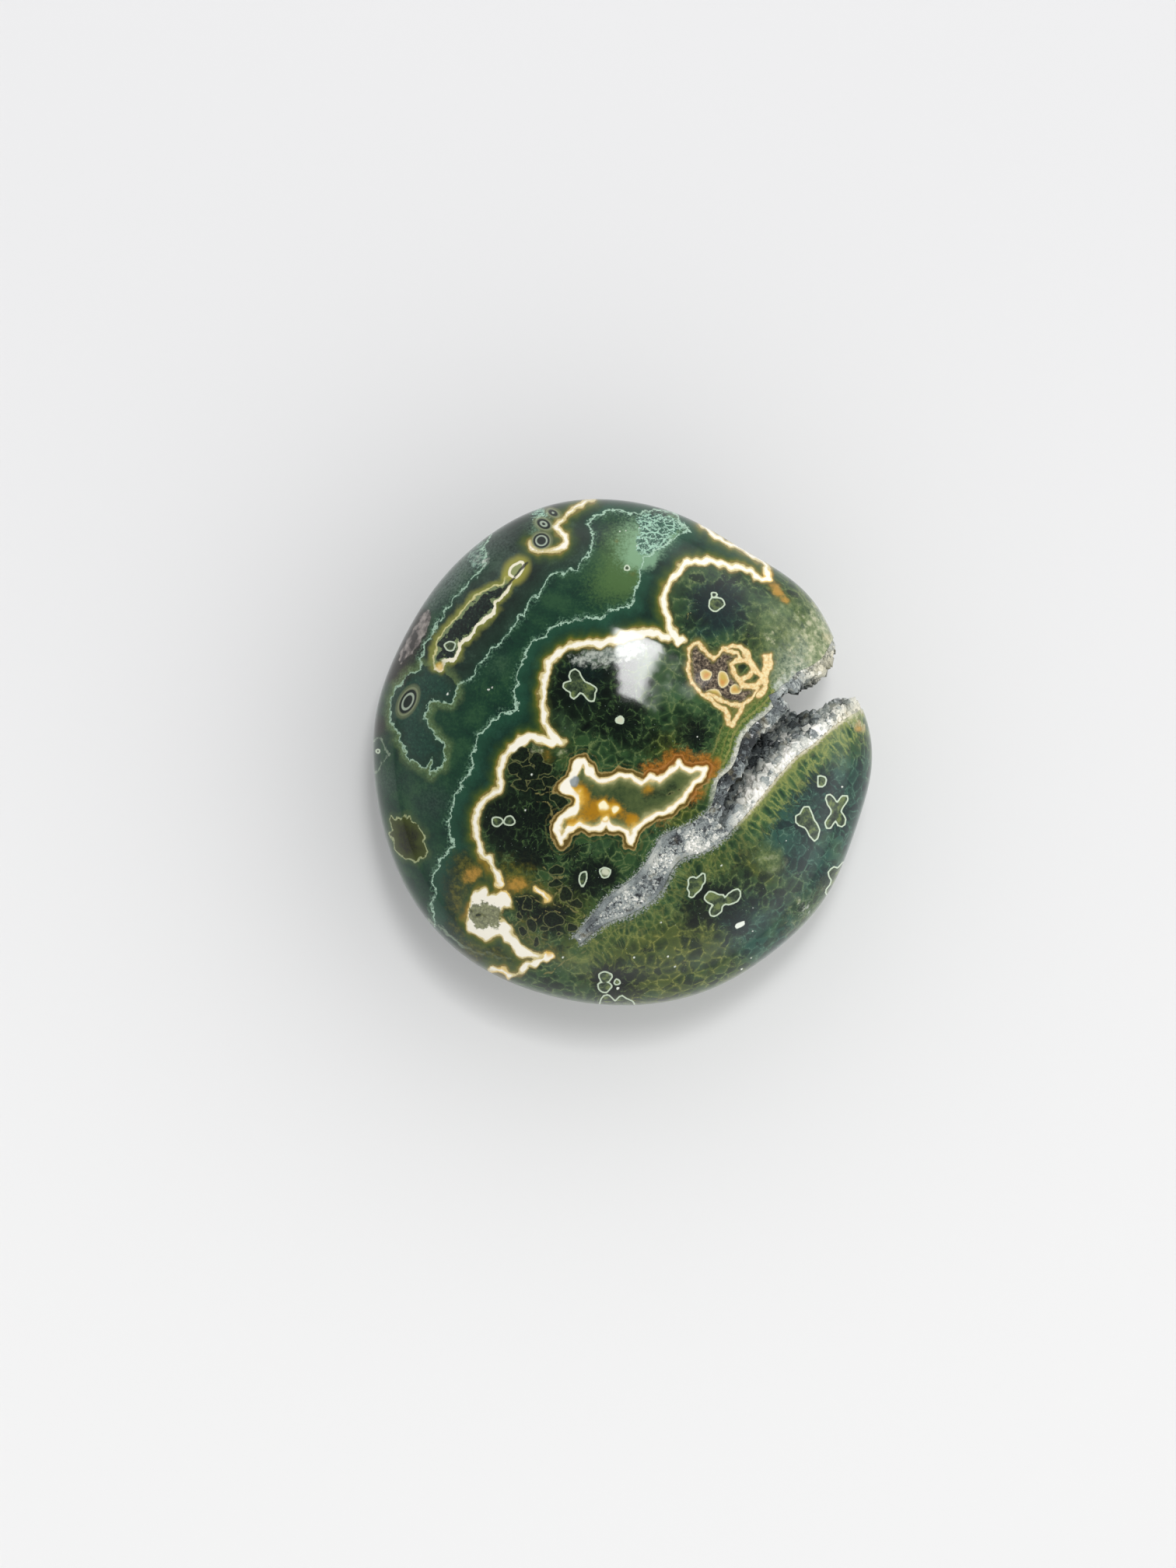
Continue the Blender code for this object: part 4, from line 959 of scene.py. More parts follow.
@dataclass
class Cleft:
    """The crystal-lined cleft and the notch where it opens right through.

    Attributes:
        pebble: The body that it is in.
        floor_height: Height of the notch's floor.
        slot_margin: Distance of the bare gap's walls behind the edges that are seen.
        slot_flare: How much wider the gap is at the underside.
        slot_flare_height: Height where the flare starts.
        sky: Height that the cutting solids reach over the face.
        ground: Height that they reach under the stone.
        knots: Left lip, right lip and depth at each place of the mouth.
        gap_knots: Left and right edge at each place of the gap.
    """

    pebble: Pebble
    floor_height: float = 11.5
    slot_margin: float = 1.45
    slot_flare: float = 1.2
    slot_flare_height: float = 9.0
    sky: float = 38.0
    ground: float = -4.0
    knots: np.ndarray = field(init=False, repr=False)
    gap_knots: np.ndarray = field(init=False, repr=False)

    def __post_init__(self) -> None:
        """Lay out the mouth and the gap as rows of numbers."""
        left = np.array([row[0] for row in MOUTH])
        right = np.array([row[1] for row in MOUTH])
        depth = np.array([row[2] for row in MOUTH])
        tops = (self.pebble.face(left) + self.pebble.face(right)) / 2.0
        depth = np.where(depth == 0.0, tops - self.floor_height, depth)
        self.knots = np.column_stack([left, right, depth])
        self.gap_knots = np.array(GAP_EDGES).reshape(-1, 4)

    def wall(self, station: np.ndarray, across: np.ndarray, down: np.ndarray, inset: float,
             ease: float = 1.0) -> np.ndarray:
        """Give points of the cleft's wall, moved into the open space.

        Args:
            station: Positions along the cleft.
            across: Shares of the way across.
            down: Shares of the way down.
            inset: Distance into the open space.
            ease: Share of the depth that is left.

        Returns:
            Rows of x, y and z.
        """
        rows = glide(self.knots, station)
        left, right, depth = rows[:, :2], rows[:, 2:4], rows[:, 4]
        side = right - left
        side /= np.linalg.norm(side, axis=1)[:, None]
        near = left + side * inset
        plan = near + (right - side * inset - near) * across[:, None]
        top = self.pebble.face(left) * (1.0 - across) + self.pebble.face(right) * across
        return np.column_stack([plan, top - down * (depth * ease - inset)])

    def profile(self, steps: int) -> np.ndarray:
        """Give the cross-section at finer steps.

        Args:
            steps: Number of points.

        Returns:
            Rows of the share across and the share down.
        """
        rows = glide(np.array(CLEFT_PROFILE), np.linspace(0.0, len(CLEFT_PROFILE) - 1, steps))
        return rows.clip(0.0, 1.0)

    def trench(self, name: str, inset: float, last: float) -> bpy.types.Object:
        """Make the solid that fills the cleft, up to well over the face.

        Args:
            name: Name of the object.
            inset: Distance into the open space.
            last: Position along the cleft where it ends.

        Returns:
            The solid.
        """
        profile = self.profile(28)
        sections = []
        for station in np.linspace(0.0, last, int(last * 5) + 1):
            ring = self.wall(np.full(len(profile), station), profile[:, 0], profile[:, 1], inset)
            lids = ring[[-1, 0]].copy()
            lids[:, 2] = self.sky
            sections.append(np.concatenate([ring, lids]))
        return add_mesh(name, *tube(np.array(sections)))

    def gap_walls(self, place: np.ndarray, inset: float) -> tuple[np.ndarray, np.ndarray, np.ndarray]:
        """Give the plan positions of both walls of the open gap.

        Args:
            place: Positions along the gap.
            inset: Distance from the bare wall into the gap.

        Returns:
            Left wall, right wall and the direction from one to the other.
        """
        rows = glide(self.gap_knots, place)
        left, right = rows[:, :2], rows[:, 2:]
        side = right - left
        side /= np.linalg.norm(side, axis=1)[:, None]
        shift = inset - self.slot_margin
        return left + side * shift, right - side * shift, side

    def flare(self, height: np.ndarray) -> np.ndarray:
        """Give how far each wall of the gap falls back at a height."""
        return self.slot_flare * np.maximum(self.slot_flare_height - height, 0.0) / (
            self.slot_flare_height - self.ground)

    def slot(self, name: str, inset: float) -> bpy.types.Object:
        """Make the solid that fills the open gap.

        Args:
            name: Name of the object.
            inset: Distance from the bare wall into the gap.

        Returns:
            The solid.
        """
        place = np.linspace(0.0, len(GAP_EDGES) - 1, GAP_STATIONS)
        left, right, side = self.gap_walls(place, inset)
        inward = np.array([-side[-1, 1], side[-1, 0]])
        inward *= math.copysign(max(self.slot_margin - inset, 0.0), -inward[0])
        left = np.concatenate([left, left[-1:] + inward])
        right = np.concatenate([right, right[-1:] + inward])
        side = np.concatenate([side, side[-1:]])
        columns = []
        for wall, sign in ((left, -1.0), (right, 1.0)):
            heights = [self.sky, self.slot_flare_height, 4.0, self.ground]
            column = [np.column_stack([wall + side * sign * self.flare(np.array(height)),
                                       np.full(len(wall), height)]) for height in heights]
            columns += column if sign < 0.0 else column[::-1]
        return add_mesh(name, *tube(np.stack(columns, axis=1)))

    def lips(self) -> tuple[np.ndarray, np.ndarray]:
        """Give both lips as chains of plan positions.

        Returns:
            Left lip and right lip.
        """
        rows = glide(self.knots, np.linspace(0.0, len(self.knots) - 1, LIP_STATIONS))
        return rows[:, :2], rows[:, 2:4]


class Graph:
    """Builder of one material's nodes, in millimetres of the object's own space."""

    def __init__(self, name: str) -> None:
        """Start a material with a principled shader."""
        self.material = bpy.data.materials.new(name)
        self.material.use_nodes = True
        self.tree = self.material.node_tree
        self.shader = self.tree.nodes["Principled BSDF"]
        coordinates = self.tree.nodes.new("ShaderNodeTexCoord")
        scaled = self.tree.nodes.new("ShaderNodeMapping")
        scaled.inputs["Scale"].default_value = (1.0 / MM, 1.0 / MM, 1.0 / MM)
        self.tree.links.new(coordinates.outputs["Object"], scaled.inputs["Vector"])
        self.place = scaled.outputs["Vector"]

    def feed(self, socket: bpy.types.NodeSocket, value: Value) -> None:
        """Link a socket, or set its value.

        Args:
            socket: Input socket.
            value: Output socket, number or colour; None leaves the input as it is.
        """
        if isinstance(value, bpy.types.NodeSocket):
            self.tree.links.new(value, socket)
        elif isinstance(value, str):
            socket.default_value = tint(value)
        elif value is not None:
            socket.default_value = value

    def maths(self, operation: str, first: Value, second: Value = None) -> Socket:
        """Add a Math node.

        Args:
            operation: Blender's name of the operation.
            first: First value.
            second: Second value.

        Returns:
            The result's socket.
        """
        node = self.tree.nodes.new("ShaderNodeMath")
        node.operation = operation
        self.feed(node.inputs[0], first)
        self.feed(node.inputs[1], second)
        return node.outputs[0]

    def point(self, across: Value, along: Value, up: Value = 0.0) -> Socket:
        """Join three numbers to a place for a pattern.

        Args:
            across: First number.
            along: Second number.
            up: Third number.

        Returns:
            The place's socket.
        """
        node = self.tree.nodes.new("ShaderNodeCombineXYZ")
        for socket, value in zip(node.inputs, (across, along, up)):
            self.feed(socket, value)
        return node.outputs[0]

    def step(self, value: Value, low: float, high: float) -> Socket:
        """Rise smoothly from 0 at one value to 1 at another.

        Args:
            value: Value to read.
            low: Value that gives 0.
            high: Value that gives 1.

        Returns:
            The result's socket.
        """
        node = self.tree.nodes.new("ShaderNodeMapRange")
        node.interpolation_type = "SMOOTHSTEP"
        node.clamp = False
        self.feed(node.inputs["Value"], value)
        self.feed(node.inputs["From Min"], low)
        self.feed(node.inputs["From Max"], high)
        return node.outputs["Result"]

    def both(self, *shares: Value) -> Socket:
        """Multiply shares.

        Args:
            shares: Sockets or numbers.

        Returns:
            The product's socket.
        """
        result = shares[0]
        for share in shares[1:]:
            result = self.maths("MULTIPLY", result, share)
        return result

    def add(self, first: Value, second: Value) -> Socket:
        """Add two values."""
        return self.maths("ADD", first, second)

    def offset(self, noise: Value, strength: float) -> Socket:
        """Turn noise of 0 to 1 into an offset to both sides of zero.

        Args:
            noise: Noise to read.
            strength: Width of the offset's whole range.

        Returns:
            The offset's socket.
        """
        return self.both(self.maths("SUBTRACT", noise, 0.5), strength)

    def shifted(self, name: str, jag: Value, strength: float) -> Socket:
        """Read a number stored on the mesh, with an uneven offset.

        Args:
            name: Name of the attribute.
            jag: Uneven offset.
            strength: Factor on the offset.

        Returns:
            The sum's socket.
        """
        return self.add(self.value(name), self.both(jag, strength))

    def line(self, value: Value, middle: float, half: float, soft: float) -> Socket:
        """Mark a line of some width where a value is near a middle.

        Args:
            value: Value to read.
            middle: Value along the middle of the line.
            half: Half of the line's width.
            soft: Width of its soft edge.

        Returns:
            1 on the line and 0 off it.
        """
        gap = self.maths("ABSOLUTE", self.maths("SUBTRACT", value, middle))
        return self.step(gap, half + soft, half)

    def mix(self, share: Value, under: Value, over: Value) -> Socket:
        """Lay one colour over another.

        Args:
            share: How much of the upper colour shows.
            under: Lower colour.
            over: Upper colour.

        Returns:
            The colour's socket.
        """
        node = self.tree.nodes.new("ShaderNodeMix")
        node.data_type = "RGBA"
        self.feed(node.inputs[0], share)
        self.feed(node.inputs[6], under)
        self.feed(node.inputs[7], over)
        return node.outputs[2]

    def ramp(self, value: Value, *stops: tuple[float, str]) -> Socket:
        """Turn a value into a colour.

        Args:
            value: Value to read.
            stops: Position and hex colour of each stop.

        Returns:
            The colour's socket.
        """
        node = self.tree.nodes.new("ShaderNodeValToRGB")
        elements = node.color_ramp.elements
        while len(elements) < len(stops):
            elements.new(1.0)
        for element, (place, code) in zip(elements, stops):
            element.position = place
            element.color = tint(code)
        self.feed(node.inputs[0], value)
        return node.outputs["Color"]

    def noise(self, scale: float, detail: float = 3.0, rough: float = 0.55, place: Value = None) -> Socket:
        """Add smooth noise of about 0 to 1.

        Args:
            scale: Bumps for each millimetre.
            detail: Number of finer layers.
            rough: Strength of the finer layers.
            place: Vector to read it at.

        Returns:
            The value's socket.
        """
        node = self.tree.nodes.new("ShaderNodeTexNoise")
        self.feed(node.inputs["Vector"], place or self.place)
        self.feed(node.inputs["Scale"], scale)
        self.feed(node.inputs["Detail"], detail)
        self.feed(node.inputs["Roughness"], rough)
        return node.outputs[0]

    def cells(self, scale: float, feature: str = "F1", output: str = "Distance", place: Value = None) -> Socket:
        """Add a cell pattern.

        Args:
            scale: Cells for each millimetre.
            feature: Blender's name of what is measured.
            output: Name of the output.
            place: Vector to read it at.

        Returns:
            The output's socket.
        """
        node = self.tree.nodes.new("ShaderNodeTexVoronoi")
        node.feature = feature
        self.feed(node.inputs["Vector"], place or self.place)
        self.feed(node.inputs["Scale"], scale)
        return node.outputs[output]

    def value(self, name: str) -> Socket:
        """Read a number stored on the mesh.

        Args:
            name: Name of the attribute.

        Returns:
            The value's socket.
        """
        node = self.tree.nodes.new("ShaderNodeAttribute")
        node.attribute_name = name
        return node.outputs["Fac"]

    def surface(self, colour: Value, roughness: float, index: Value = None) -> None:
        """Set the shader's colour, roughness and refractive index.

        Args:
            colour: Colour of the surface.
            roughness: Its roughness.
            index: Its refractive index; None leaves the shader's own.
        """
        for name, value in (("Base Color", colour), ("Roughness", roughness), ("IOR", index)):
            self.feed(self.shader.inputs[name], value)

    def bump(self, height: Value, strength: float, depth: float) -> None:
        """Raise fine relief on the shader.

        Args:
            height: Height of about 0 to 1.
            strength: Strength of the effect.
            depth: Height of the relief in millimetres.
        """
        node = self.tree.nodes.new("ShaderNodeBump")
        node.inputs["Strength"].default_value = strength
        node.inputs["Distance"].default_value = depth * MM
        self.feed(node.inputs["Height"], height)
        self.feed(self.shader.inputs["Normal"], node.outputs["Normal"])


@dataclass
class Markings:
    """Everything that the polished face shows, measured at the points of a mesh.

    Attributes:
        cleft: The cleft, whose lips have their own bands.
        wiggle: How far the edges wander.
        drift: How far the pattern slides on its way to the underside.
    """

    cleft: Cleft
    wiggle: float = 0.14
    drift: float = 2.6

    def flatten(self, points: np.ndarray) -> np.ndarray:
        """Give the place in the pattern that a point of the body shows.

        Args:
            points: Rows of x, y and z.

        Returns:
            Rows of x and y in the pattern.
        """
        plan = points[:, :2].copy()
        depth = np.clip((self.cleft.pebble.rim_height - points[:, 2]) / self.cleft.pebble.rim_height, 0.0, 1.0)
        plan *= 1.0 + 0.45 * depth[:, None]
        plan[:, 0] += depth * self.drift * np.sin(0.13 * points[:, 1] + 1.0)
        plan[:, 1] += depth * self.drift * np.sin(0.12 * points[:, 0] - 0.5)
        return plan

    @staticmethod
    def bands() -> tuple[list, list, list]:
        """Give the large closed zones.

        Returns:
            Zone left of the outer threads, zone right of the inner thread, and the jasper.
        """
        left = [(-16.0, 42.0), (-18.2, 30.5)] + THREAD_OUTER + POCKET_LEFT + POCKET_RIGHT + THREAD_MIDDLE
        left += [(-4.5, 32.5), (-2.0, 34.6), (2.0, 42.0)]
        right = [(-8.0, 42.0), (-6.2, 33.2), (-5.0, 31.6)] + MOSS_EDGE + THREAD_INNER
        right += [(-28.0, -27.0), (-40.0, -36.0), (0.0, -60.0), (60.0, 0.0), (30.0, 50.0)]
        jasper = RIBBON_TOP + RIBBON_MIDDLE + RIBBON_LEFT + MASS[4:25] + RIBBON_LOW
        jasper += [(-24.0, -36.0), (0.0, -60.0), (60.0, 0.0), (40.0, 40.0), (22.5, 26.0)]
        return left, right, jasper

    @staticmethod
    def ribbon(plan: np.ndarray) -> np.ndarray:
        """Measure the distance to the white ribbons' edges.

        Args:
            plan: Places in the pattern.

        Returns:
            Negative inside a ribbon.
        """
        ragged = 0.06 + 0.12 * np.clip((-17.0 - plan[:, 1]) / 3.0, 0.0, 1.0)
        swell = ragged * Ripple(8, 1.1, 3.2).at(plan) + 0.35 * spots(plan, RIBBON_SWELLS)
        gaps = [gap_to(plan, path) - half for half, path in RIBBONS]
        gaps.append(0.42 - depth_in(plan, [MASS], 3.0))
        return np.minimum.reduce(gaps) - swell

    @staticmethod
    def rings(plan: np.ndarray) -> np.ndarray:
        """Measure how deep points lie inside the oval ringed eyes.

        Args:
            plan: Places in the pattern.

        Returns:
            Distance to the edge, positive inside and negative outside.
        """
        depth = np.full(len(plan), FAR)
        for x, y, length, width, turn in RINGED_EYES:
            angle = math.radians(turn)
            along = (plan[:, 0] - x) * math.cos(angle) + (plan[:, 1] - y) * math.sin(angle)
            across = (plan[:, 1] - y) * math.cos(angle) - (plan[:, 0] - x) * math.sin(angle)
            depth = np.maximum(depth, (1.0 - np.hypot(along / length, across / width)) * width)
        return depth

    def petals(self, plan: np.ndarray) -> np.ndarray:
        """Find the flower that each point belongs to.

        Args:
            plan: Places in the pattern.

        Returns:
            Rows of the offset from the flower's middle and its heart's radius.
        """
        chooser = np.random.default_rng(21)
        table = list(FLOWERS)
        for x in np.arange(-33.0, 35.0, 5.2):
            for y in np.arange(-34.0, 35.0, 5.2):
                spot = (x + chooser.uniform(-2.0, 2.0), y + chooser.uniform(-2.0, 2.0))
                if all(math.hypot(spot[0] - row[0], spot[1] - row[1]) > row[2] + 1.7 for row in FLOWERS):
                    table.append((*spot, chooser.uniform(0.02, 0.3)))
        table = np.array(table)
        best = np.full(len(plan), 1e9)
        rows = np.zeros((len(plan), 3))
        for x, y, heart in table:
            offset = plan - (x, y)
            gap = np.hypot(offset[:, 0], offset[:, 1]) / (max(heart, 1.2) + 1.2)
            closer = gap < best
            best[closer] = gap[closer]
            rows[closer] = np.column_stack([offset[closer], np.full(closer.sum(), heart)])
        return rows

    def apply(self, mesh: bpy.types.Mesh) -> None:
        """Store all markings on the points of a mesh.

        Args:
            mesh: Mesh of the stone.
        """
        points = positions(mesh)
        still = self.flatten(points)
        plan = still + self.wiggle * np.column_stack([Ripple(seed, 0.9, 2.6).at(still) for seed in (3, 4)])
        left, right, jasper = self.bands()
        pocket = [(-28.0, 12.0)] + POCKET_LEFT + POCKET_RIGHT + [(-23.2, 7.5), (-23.0, 9.0), (-25.0, 11.5)]
        figures = [CROSS_EYE, SQUARE_EYE, X_EYE, HEART_EYE, BONE_EYE, TREFOIL_EYE, EDGE_EYE, RIM_TREFOIL]
        dots = [oval(x, y, size, size * 0.8, 40.0) for x, y, size in FINE_DOTS]
        left_lip, right_lip = self.cleft.lips()
        right_gap, run = nearest(still, right_lip, False)
        zone = depth_in(plan, [left])
        blaze = depth_in(plan, [FLAME], 5.0)
        values = {
            "outer": zone,
            "thread": np.maximum(zone, depth_in(plan, [right])),
            "hair": np.minimum(gap_to(plan, THREAD_LOW), gap_to(plan, EDGE_THREAD)),
            "jasper": depth_in(plan, [jasper]),
            "ribbon": self.ribbon(plan),
            "blaze": blaze,
            "core": np.abs(blaze) - 0.20 - 0.55 * spots(plan, CORE_SWELLS),
            "capsule": depth_in(plan, [CAPSULE], 3.0),
            "flank": 0.74 * (plan[:, 0] + 21.0) - 0.67 * (plan[:, 1] - 17.5),
            "pocket": depth_in(plan, [pocket], 4.0),
            "blob": depth_in(plan, [BLOB], 3.0),
            "window": depth_in(plan, [WINDOW], 3.0),
            "web": np.minimum.reduce([gap_to(plan, path) for path in WINDOW_WEB]),
            "nodule": depth_in(still, [oval(*row) for row in NODULES], 2.0),
            "eye": depth_in(still, figures + [oval(*row) for row in OVAL_EYES], 2.0),
            "ringed": self.rings(still),
            "dots": depth_in(still, dots + [WHITE_SQUARE], 1.0),
            "cavity": depth_in(plan, [CAVITY], 3.0),
            "slit": gap_to(plan, SLIT),
            "patch": depth_in(plan, [oval(*GREY_PATCH)], 3.0),
            "cell": depth_in(plan, DARK_CELLS + [oval(*row) for row in CELL_OVALS], 2.0),
            "tan": np.minimum.reduce([gap_to(plan, path) for path in TAN_LINES]),
            "head": depth_in(still, [oval(*CAPSULE_HEAD)], 3.0),
        }
        values.update((name, spots(plan, table)) for name, table in SPOT_TABLES.items())
        values.update(left_gap=gap_to(still, left_lip), right_gap=right_gap, run=run)
        values.update(zip(("petal_x", "petal_y", "heart"), self.petals(plan).T))
        values.update(zip(("east", "north", "up"), points.T))
        for name, column in values.items():
            paint(mesh, name, column)


@dataclass(frozen=True)
class StoneFinish:
    """Polished agate and jasper.

    Attributes:
        roughness: Roughness of the polish.
        index: Refractive index, a little under quartz's for a softer shine.
        pits: Depth of the finest pits.
    """

    roughness: float = 0.05
    index: float = 1.40
    pits: float = 0.012

    def agate(self, g: Graph, jag: Value, cloud: Value) -> Socket:
        """Colour the banded agate with its threads.

        Args:
            g: The material's builder.
            jag: Fine uneven offset.
            cloud: Slow clouding.

        Returns:
            The colour's socket.
        """
        fine = g.noise(2.8, 4.0, 0.7)
        thread = g.shifted("thread", jag, 1.25)
        tone = g.add(g.both(cloud, 0.7), g.both(fine, 0.3))
        body = g.ramp(tone, (0.34, "0b2119"), (0.50, "123126"), (0.64, "204436"))
        veil = g.both(g.step(thread, 2.6, 0.1), g.step(thread, -0.1, 0.2))
        body = g.mix(g.both(veil, 0.5), body, "2a5a42")
        moss = g.ramp(tone, (0.36, "0d2c23"), (0.50, "173c2a"), (0.62, "294d32"))
        body = g.mix(g.step(thread, 0.05, -0.1), body, moss)
        rim = g.step(g.value("outer"), -0.2, 0.6)
        body = g.mix(g.both(rim, 0.7), body, g.ramp(tone, (0.36, "111d17"), (0.52, "203026"), (0.66, "405244")))
        lush = g.add(g.value("moss"), g.offset(fine, 1.2))
        body = g.mix(g.both(g.step(lush, 0.2, 1.1), g.step(thread, 0.0, -0.3), 0.8), body, "4f6f3c")
        minty = g.add(g.value("mint"), g.offset(fine, 1.6))
        body = g.mix(g.both(g.step(minty, 0.45, 1.5), 0.6), body, "93bd98")
        warped = g.point(g.shifted("east", jag, 3.2),
                         g.shifted("north", jag, 2.24),
                         g.shifted("up", jag, 1.28))
        mesh_edge = g.cells(1.0, "DISTANCE_TO_EDGE", place=warped)
        zone = g.step(g.add(g.value("lace"), g.offset(fine, 1.3)), 0.35, 0.6)
        body = g.mix(g.both(zone, 0.9), body, g.mix(g.step(fine, 0.5, 0.65), "1d443d", "3b6c58"))
        body = g.mix(g.both(zone, g.step(mesh_edge, 0.15, 0.08), g.step(fine, 0.36, 0.5), 0.9), body, "aad2bb")
        # Painted sheen along the upper-left and left rim, with some grey clouding further in.
        body = g.mix(g.both(g.step(g.value("grey"), 0.1, 1.0), 0.65), body, g.ramp(fine, (0.38, "33463d"),
                                                                                     (0.60, "6f8078")))
        # Painted dark reflection along the left edge, shown as brown.
        body = g.mix(g.both(g.step(g.value("edge_reflection"), 0.15, 0.9), 0.9), body, g.ramp(fine, (0.4, "15130f"),
                                                                                    (0.62, "38332b")))
        fuzz = g.both(g.line(thread, -0.25, 0.08, 0.5), g.step(fine, 0.45, 0.62))
        body = g.mix(g.both(fuzz, 0.5), body, "6f977b")
        pale = g.line(thread, 0.0, 0.06, 0.10)
        body = g.mix(g.both(pale, g.step(g.noise(0.9, 2.0), 0.25, 0.5), 0.9), body, "abcbb4")
        tan = g.line(g.shifted("tan", jag, 0.2), 0.0, 0.07, 0.1)
        body = g.mix(g.both(tan, 0.8), body, "a89c60")
        return g.mix(g.both(g.step(g.add(g.value("hair"), jag), 0.22, 0.06), 0.6), body, "93a58d")

    def jasper(self, g: Graph, jag: Value, cloud: Value) -> Socket:
        """Colour the flower jasper.

        Args:
            g: The material's builder.
            jag: Fine uneven offset.
            cloud: Slow clouding.

        Returns:
            The colour's socket.
        """
        heart, drift = g.value("heart"), g.both(jag, 0.5)
        sides = (g.value("petal_x"), g.value("petal_y"))
        reach = g.maths("SQRT", g.add(*(g.both(side, side) for side in sides)))
        scale = g.maths("DIVIDE", 2.5, g.maths("MAXIMUM", reach, 0.001))
        rise = g.add(g.both(g.maths("LOGARITHM", g.add(reach, 0.9), math.e), 1.9), g.both(heart, 37.0))
        place = g.point(*(g.add(g.both(side, scale), drift) for side in sides), g.add(rise, drift))
        ray = g.noise(2.0, 3.0, 0.6, place)
        fine = g.noise(2.6, 3.0, 0.7)
        share = g.maths("DIVIDE", g.add(reach, g.offset(ray, 3.0)),
                        g.maths("MAXIMUM", heart, 0.05))
        loose = g.point(g.shifted("east", jag, 0.9),
                        g.shifted("north", jag, 0.72), g.value("up"))
        radial = g.cells(1.0, "DISTANCE_TO_EDGE", place=place)
        round_cell = g.cells(0.62, "DISTANCE_TO_EDGE", place=loose)
        radiating = g.step(g.add(share, g.offset(cloud, 1.5)), 2.5, 1.5)
        petal = g.add(g.both(radial, radiating), g.both(round_cell, g.maths("SUBTRACT", 1.0, radiating)))
        petal = g.add(petal, g.offset(fine, 0.12))
        petal = g.add(petal, g.both(g.step(g.noise(0.7, 2.0), 0.46, 0.6), 0.07))
        rays = g.noise(1.9, 0.0, 0.5, g.cells(1.0, output="Position", place=place))
        rounds = g.noise(1.9, 0.0, 0.5, g.cells(0.62, output="Position", place=loose))
        tone = g.add(g.both(rays, radiating), g.both(rounds, g.maths("SUBTRACT", 1.0, radiating)))
        spot = g.add(g.offset(cloud, 1.3), g.offset(fine, 0.7))
        olive = g.step(g.add(g.value("olive"), spot), 0.15, 1.0)
        teal = g.step(g.add(g.value("teal"), spot), 0.2, 1.0)
        night = g.step(g.add(g.value("night"), spot), 0.15, 0.75)
        body = g.ramp(petal, (0.0, "677749"), (0.04, "475d37"), (0.14, "294427"), (0.40, "132718"))
        lush = g.ramp(petal, (0.0, "7f8240"), (0.04, "59622a"), (0.15, "37481b"), (0.42, "1a2b13"))
        cool = g.ramp(petal, (0.0, "4c7060"), (0.04, "305345"), (0.14, "1e3e34"), (0.40, "142f29"))
        body = g.mix(teal, g.mix(olive, body, lush), cool)
        body = g.mix(g.both(g.step(tone, 0.47, 0.36), g.step(petal, 0.02, 0.16), 0.7), body,
                     g.mix(teal, "0f2012", "0c2426"))
        body = g.mix(g.both(g.step(tone, 0.53, 0.64), g.step(petal, 0.02, 0.10), 0.6), body,
                     g.mix(teal, g.mix(olive, "35532e", "505d27"), "2a5549"))
        bright = g.both(g.step(g.noise(0.8, 2.0), 0.5, 0.68), g.step(petal, 0.05, 0.12), 0.25)
        body = g.mix(bright, body, g.mix(teal, g.mix(olive, "38582f", "545f26"), "2c584c"))
        dusk = g.mix(teal, g.ramp(petal, (0.0, "41572f"), (0.03, "253b23"), (0.09, "09150e"), (0.4, "050c09")),
                     g.ramp(petal, (0.0, "2f584d"), (0.03, "1c423c"), (0.09, "0c2527"), (0.4, "091b1d")))
        body = g.mix(g.both(night, 0.9), body, dusk)
        dark = g.mix(teal, "08120e", "0a1f20")
        body = g.mix(g.both(g.step(share, 0.9, 0.45), 0.8), body, dark)
        soft = g.step(g.add(g.value("soft"), spot), 0.15, 0.9)
        mottle = g.ramp(g.noise(0.85, 4.0, 0.68), (0.34, "30442b"), (0.45, "4c6138"), (0.56, "6c7c4c"),
                        (0.70, "99a27c"))
        body = g.mix(g.both(soft, 0.72), body, mottle)
        haze = g.both(g.step(g.noise(0.22, 3.0), 0.5, 0.72), g.step(share, 0.8, 1.4))
        body = g.mix(g.both(haze, 0.3), body, "50704a")
        motes = g.both(g.step(g.cells(1.7), 0.12, 0.05), g.step(g.noise(0.4, 2.0), 0.48, 0.6))
        body = g.mix(g.both(motes, 0.6), body, "9fb0a6")
        tan = g.line(g.shifted("tan", jag, 0.25), 0.0, 0.04, 0.09)
        return g.mix(g.both(tan, 0.8), body, "7f7a4a")

    def lip_bands(self, g: Graph, under: Value, jag: Value) -> Socket:
        """Lay the bands beside the cleft over a colour.

        Args:
            g: The material's builder.
            under: Colour below.
            jag: Fine uneven offset.

        Returns:
            The colour's socket.
        """
        run, right_gap, drift = g.value("run"), g.value("right_gap"), g.both(jag, 0.9)
        left = g.shifted("left_gap", jag, 1.0)
        right = g.add(right_gap, g.both(jag, 0.6))
        left_side = g.step(g.maths("SUBTRACT", right, left), -0.2, 0.4)
        right_side = g.step(g.maths("SUBTRACT", left, right), -0.2, 0.4)
        hollow = g.step(run, 29.5, 25.0)
        inner = g.both(hollow, g.step(run, 8.0, 13.0))
        spread = g.point(g.add(g.both(run, 1.15), drift),
                         g.add(g.both(g.maths("LOGARITHM", g.add(right_gap, 1.2), math.e), 1.5), drift))
        petal = g.cells(1.0, "DISTANCE_TO_EDGE", place=spread)
        spikes = g.noise(1.6, 3.0, 0.65, spread)
        grain = g.noise(2.2, 4.0, 0.7)
        petal = g.add(petal, g.offset(grain, 0.25))
        reach = g.add(right_gap, g.offset(spikes, 6.5))
        body = g.mix(g.both(g.step(reach, 4.6, 2.2), right_side, g.add(g.both(hollow, 0.55), 0.45)),
                     under,
                     g.ramp(petal, (0.0, "878f4e"), (0.07, "637642"), (0.18, "3a5a33"), (0.4, "1b3824")))
